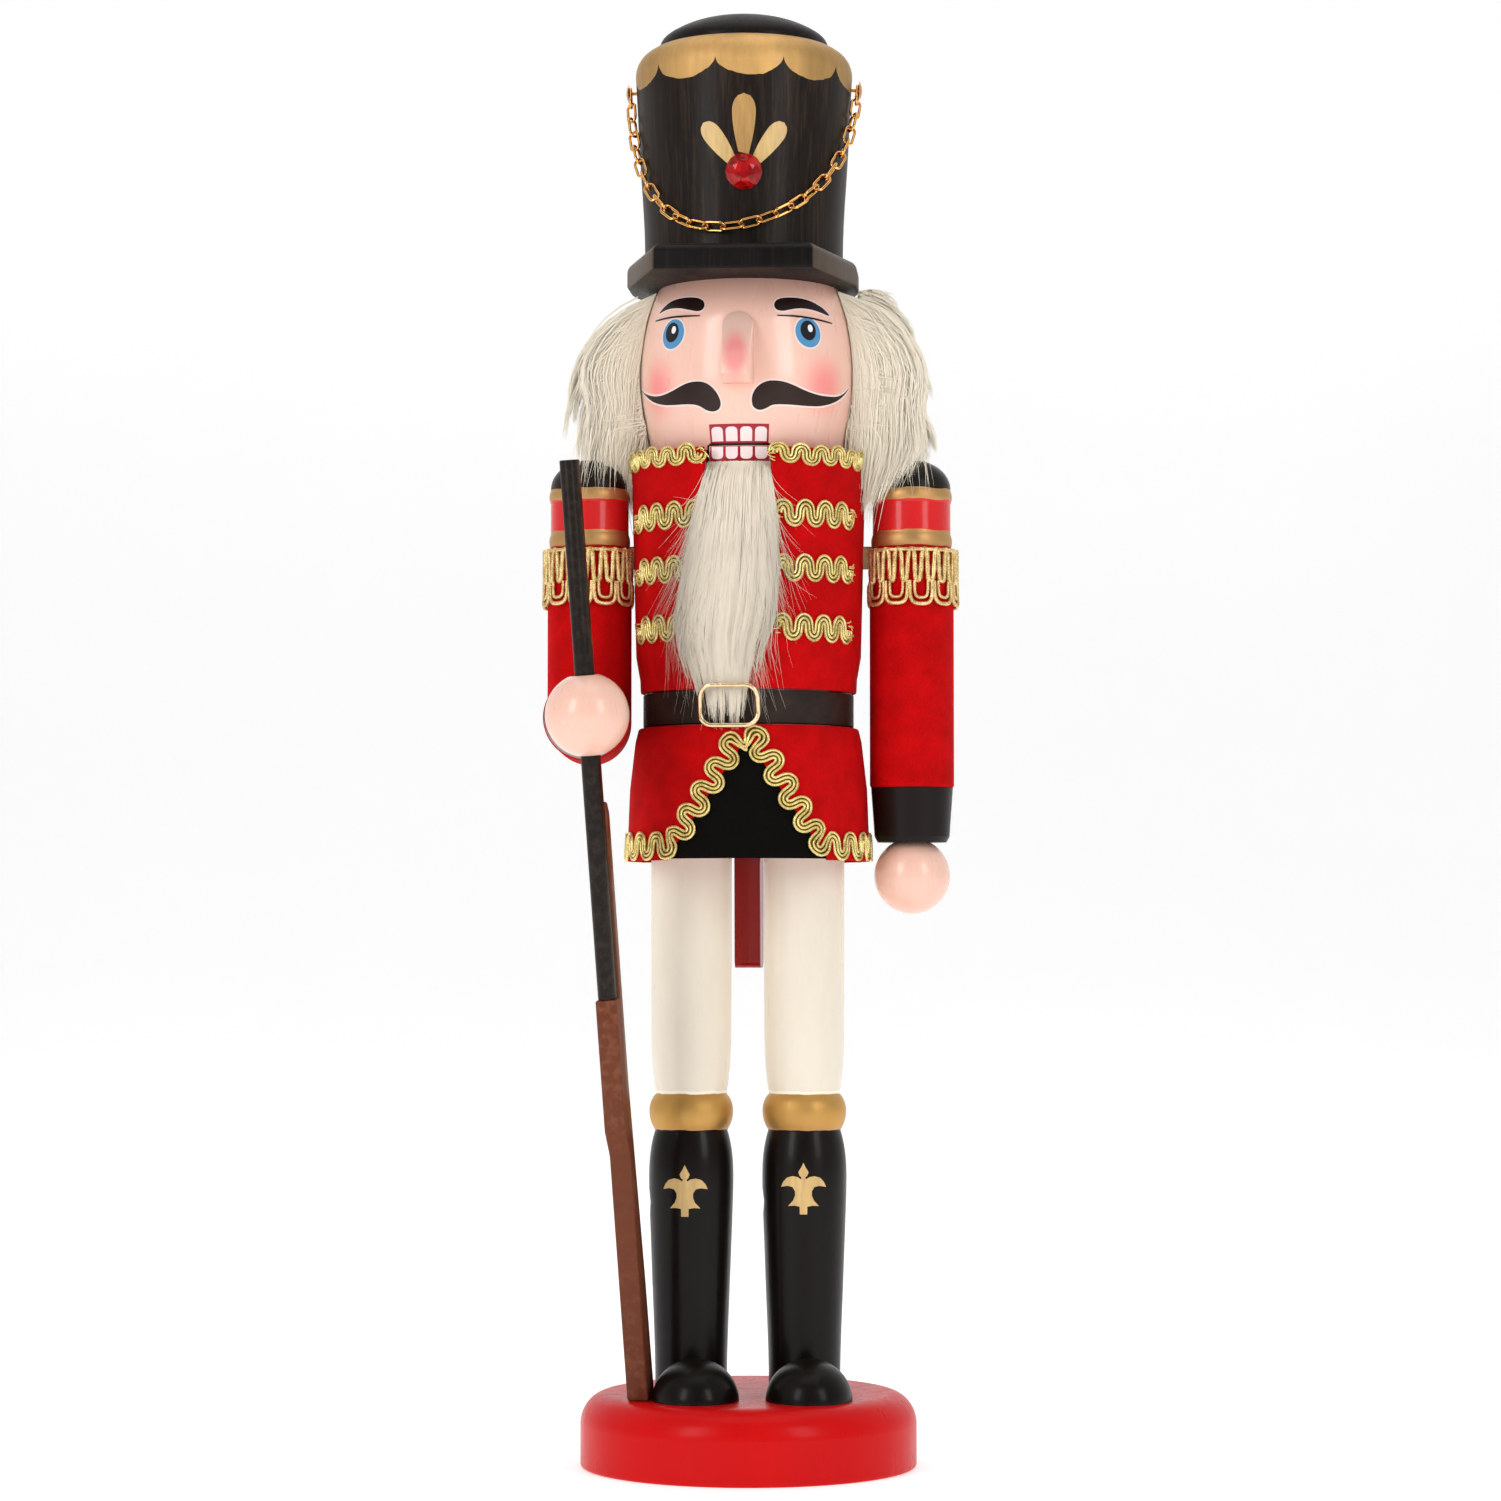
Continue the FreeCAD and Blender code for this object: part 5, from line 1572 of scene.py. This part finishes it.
def shoulder_wisps(rng, count=44, steps=8):
    """Loose ends of the hair that lie over the black tops of the arms."""
    v = np.linspace(0, 1, steps)[None, :]
    paths = []
    for sign, x in ((-1, ARM_RIGHT_X), (1, ARM_LEFT_X)):
        start = x + sign * rng.uniform(-8.5, 3.5, (count, 1))
        end = np.clip(start + sign * rng.uniform(-1.5, 4.0, (count, 1)), x - ROOM_TO_SIDE, x + ROOM_TO_SIDE)
        px = start + (end - start) * v
        top, bottom = 269.0, rng.uniform(251.0, 260.0, (count, 1))
        pz = top + (bottom - top) * v
        dome = np.interp(pz, *ARM_TOP)
        reach = np.sqrt(np.maximum(dome**2 - (px - x) ** 2, 0.0))
        hug = np.clip((264.0 - pz) / 4.0, 0, 1)
        py = -(reach * hug + rng.uniform(2.0, 9.0, (count, 1)) * (1 - hug)) - 0.35
        paths.append(np.stack([px, py, pz], axis=-1))
    paths = np.concatenate(paths)
    widths = rng.uniform(0.06, 0.12, (2 * count, 1)) * (1 - 0.85 * v**2)
    tint = rng.uniform(0.7, 1.0, (2 * count, 1)) + 0 * v
    return paths, widths, tint, np.broadcast_to((0.0, -0.9, 0.43), paths.shape)


def make_hair():
    rng = np.random.default_rng(21)
    main = hair_paths(rng, 15000)
    groups = zip(main, shoulder_wisps(rng), side_tufts(rng))
    paths, widths, tint, facing = (np.concatenate(parts) for parts in groups)
    obj = strands("hair_strands", paths, widths, tint, facing, fur_hair)
    ride(obj, "figure", "cream_fur", "hair")
    within = straight_profile([(radius - 6.0, height) for radius, height in zip(HAIR_RADII, HAIR_HEIGHTS)])
    surface = round_surface(within, BODY_TURN, unit=COAT_UNIT)
    start, end = coat_arc(93), coat_arc(267)
    outline = [(start, 268.0), (end, 268.0), (end, 305.0), (start, 305.0)]
    backing = patch("hair_backing", outline, surface, fur_backing, 0.0, -12.0, 0.0, 2.5, 2.0)
    ride(backing, "figure", "cream_fur")


# What the beard measures at a height: its half width, its middle, how far it stands off, the lowest
# radius a strand can have, and the radius of its underside.
BEARD_HALF = ([190, 200, 207, 217, 231, 245, 258.5], [6.4, 8.0, 10.0, 12.4, 12.0, 10.4, 8.2])
BEARD_MIDDLE = ([190, 204, 211, 219, 231, 245, 258.5], [-3.4, -3.8, -4.2, -3.0, -1.6, -0.6, 0.0])
BEARD_CREST = ([190, 196, 203, 215, 235, 250, 258.5], [0.1, 0.2, 0.5, 2.8, 5.0, 5.0, 2.6])
BEARD_FLOOR = ([190, 200, 204, 210, 221, 231, 236, 258.5], [29.0, 29.5, 30.0, 31.0, 31.9, 31.0, 26.0, 25.6])
BEARD_UNDERSIDE = ([190, 200, 204, 210, 221, 258.5], [28.9, 29.4, 30.1, 31.1, 31.8, 30.4])
BEARD_LIMIT = 36.8


def beard_paths(rng, count, steps=10, flyaway=False):
    """Fur combed down from the jaw, a little to the figure's right, and parting into ragged points."""
    locks = 60
    lock_x = np.linspace(-1, 1, locks) + rng.normal(0, 0.04, locks)
    lock_z = rng.uniform(189.5, 213, locks) + 11 * np.abs(lock_x) ** 2
    lock_t = rng.uniform(0.2, 1.0, locks)
    root = rng.uniform(-1, 1, count)
    depth = rng.uniform(0.0, 1.0, count)
    gap = np.abs(lock_x[None, :] - root[:, None]) + 0.2 * np.abs(lock_t[None, :] - depth[:, None])
    near = np.argmin(gap + rng.uniform(0, 0.12, (count, locks)), axis=1)
    v = np.linspace(0, 1, steps)[None, :]
    high = rng.uniform(0, 1, count) < 0.62
    root_z = np.where(high, rng.uniform(255.5, 258.6, count), rng.uniform(234, 257, count))
    short = rng.uniform(0, 1, count) < 0.72
    tip_z = lock_z[near] + rng.normal(0, 2.4, count) + rng.uniform(0, 30, count) * short
    z = root_z[:, None] + (tip_z - root_z)[:, None] * v
    pull = 0.75 * v**3
    share = root[:, None] * (1 - pull) + lock_x[near][:, None] * pull
    share = share + rng.normal(0, 0.05, (count, 1)) * v
    x = np.interp(z, *BEARD_MIDDLE) + share * np.interp(z, *BEARD_HALF)
    if flyaway:
        x = x + np.sign(root)[:, None] * rng.uniform(0.5, 10.5, (count, 1)) * v**2.2
    t = depth[:, None] * (1 - pull) + lock_t[near][:, None] * pull
    crest, floor, under = (np.interp(z, *table) for table in (BEARD_CREST, BEARD_FLOOR, BEARD_UNDERSIDE))
    rise = 1 - np.exp(-9 * v)
    swell = np.sqrt(np.clip(1.12 - share**2, 0.05, 1.2))
    r = floor * (1 - rise) + (under + crest * (0.15 + 0.85 * t) * swell) * rise
    r = np.minimum(np.maximum(r, floor), BEARD_LIMIT)
    angle = np.arcsin(np.clip(x / r, -0.95, 0.95)) + math.radians(BODY_TURN)
    paths = np.stack([r * np.sin(angle), -r * np.cos(angle), z], axis=-1)
    widths = rng.uniform(0.13, 0.22, (count, 1)) * (1 - 0.85 * v**1.8)
    tint = rng.uniform(0.66, 1.0, (count, 1)) * (0.92 + 0.08 * v)
    lean = angle + np.radians(38.0) * np.clip(share, -1, 1)
    facing = unit_length(np.stack([np.sin(lean), -np.cos(lean), np.full_like(z, 0.1)], axis=-1))
    return paths, widths, tint, facing


def make_beard():
    rng = np.random.default_rng(8)
    main = beard_paths(rng, 5600)
    loose = beard_paths(rng, 380, flyaway=True)
    loose[1][:] = loose[1] * 0.45
    paths, widths, tint, facing = (np.concatenate([a, b]) for a, b in zip(main, loose))
    obj = strands("beard_strands", paths, widths, tint, facing, fur_beard, 0.18)
    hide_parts("beard")
    depth = straight_profile([(31.2, 205), (33.4, 222), (33.6, 232), (33.0, 245), (30.6, 252), (27.4, 257)])
    surface = round_surface(depth, BODY_TURN, unit=33.0)
    right_edge = [(-6.6, 256.5), (-8.8, 245), (-11.8, 222), (-11.0, 212)]
    left_edge = [(4.6, 212), (7.2, 222), (7.6, 245), (6.6, 256.5)]
    outline = rounded_outline(right_edge + left_edge, 1)
    backing = patch("beard_backing", outline, surface, fur_backing, 0.0, -1.2, 0.0, 1.8, 1.5)
    for piece in (obj, backing):
        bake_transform(piece)


make_hair()
make_beard()


# ---- Stage, light and camera ----


def stage():
    """A white floor that curves up behind, four soft lights and a sky that is brighter behind."""
    floor = Paint("stage_paint")
    floor.set(
        Base_Color=varied(floor, (0.9, 0.9, 0.9), 0.01, 3.0),
        Roughness=floor.spread(floor.noise(5.0), 0.7, 0.8),
        Emission_Color=(1.0, 1.0, 1.0),
        Emission_Strength=0.42,
    )
    verts, faces = [], []
    half, radius, back = 3.0, 0.8, 1.6
    profile = [(-2.5, 0.0), (back, 0.0)]
    for t in range(10, 91, 10):
        angle = math.radians(t)
        profile.append((back + radius * math.sin(angle), radius - radius * math.cos(angle)))
    profile.append((back + radius, 3.0))
    for y, z in profile:
        verts += [(-half, y, z), (half, y, z)]
    for i in range(len(profile) - 1):
        faces.append((2 * i, 2 * i + 1, 2 * i + 3, 2 * i + 2))
    obj = mesh_object("studio_floor", verts, faces, floor.material, 60)
    for name, place, size, energy in (
        ("soft_left", (-0.95, -1.15, 0.75), (0.45, 0.95), 7.6),
        ("soft_right", (0.95, -1.15, 0.75), (0.45, 0.95), 6.0),
        ("soft_top", (0.0, -0.1, 1.5), (1.2, 1.2), 4.2),
        ("soft_back", (0.0, 1.3, 1.0), (1.4, 0.8), 1.2),
    ):
        lamp = bpy.data.lights.new(name, "AREA")
        lamp.shape = "RECTANGLE"
        lamp.size, lamp.size_y = size
        lamp.energy = energy
        light = bpy.data.objects.new(name, lamp)
        light.location = place
        aim = Vector((0, 0, 0.2)) - Vector(place)
        light.rotation_euler = aim.to_track_quat("-Z", "Y").to_euler()
        bpy.context.collection.objects.link(light)
    world = bpy.data.worlds.new("studio")
    world.use_nodes = True
    tree = world.node_tree
    background = tree.nodes["Background"]
    background.inputs["Color"].default_value = (1.0, 1.0, 1.0, 1.0)
    place = tree.nodes.new("ShaderNodeTexCoord")
    axes = tree.nodes.new("ShaderNodeSeparateXYZ")
    bright = tree.nodes.new("ShaderNodeMapRange")
    tree.links.new(place.outputs["Generated"], axes.inputs[0])
    tree.links.new(axes.outputs["Y"], bright.inputs["Value"])
    for key, value in (("From Min", -0.6), ("From Max", 0.5), ("To Min", 0.26), ("To Max", 0.78)):
        bright.inputs[key].default_value = value
    tree.links.new(bright.outputs[0], background.inputs["Strength"])
    bpy.context.scene.world = world


stage()
bpy.context.scene.view_settings.view_transform = "Standard"

lens = bpy.data.cameras.new("camera")
lens.sensor_width = 36.0
lens.lens = 96.43
camera = bpy.data.objects.new("camera", lens)
camera.location = (0.0005, -1.05, 0.13996)
camera.rotation_euler = (math.radians(90 + 2.486), 0.0, 0.0)
bpy.context.collection.objects.link(camera)
bpy.context.scene.camera = camera
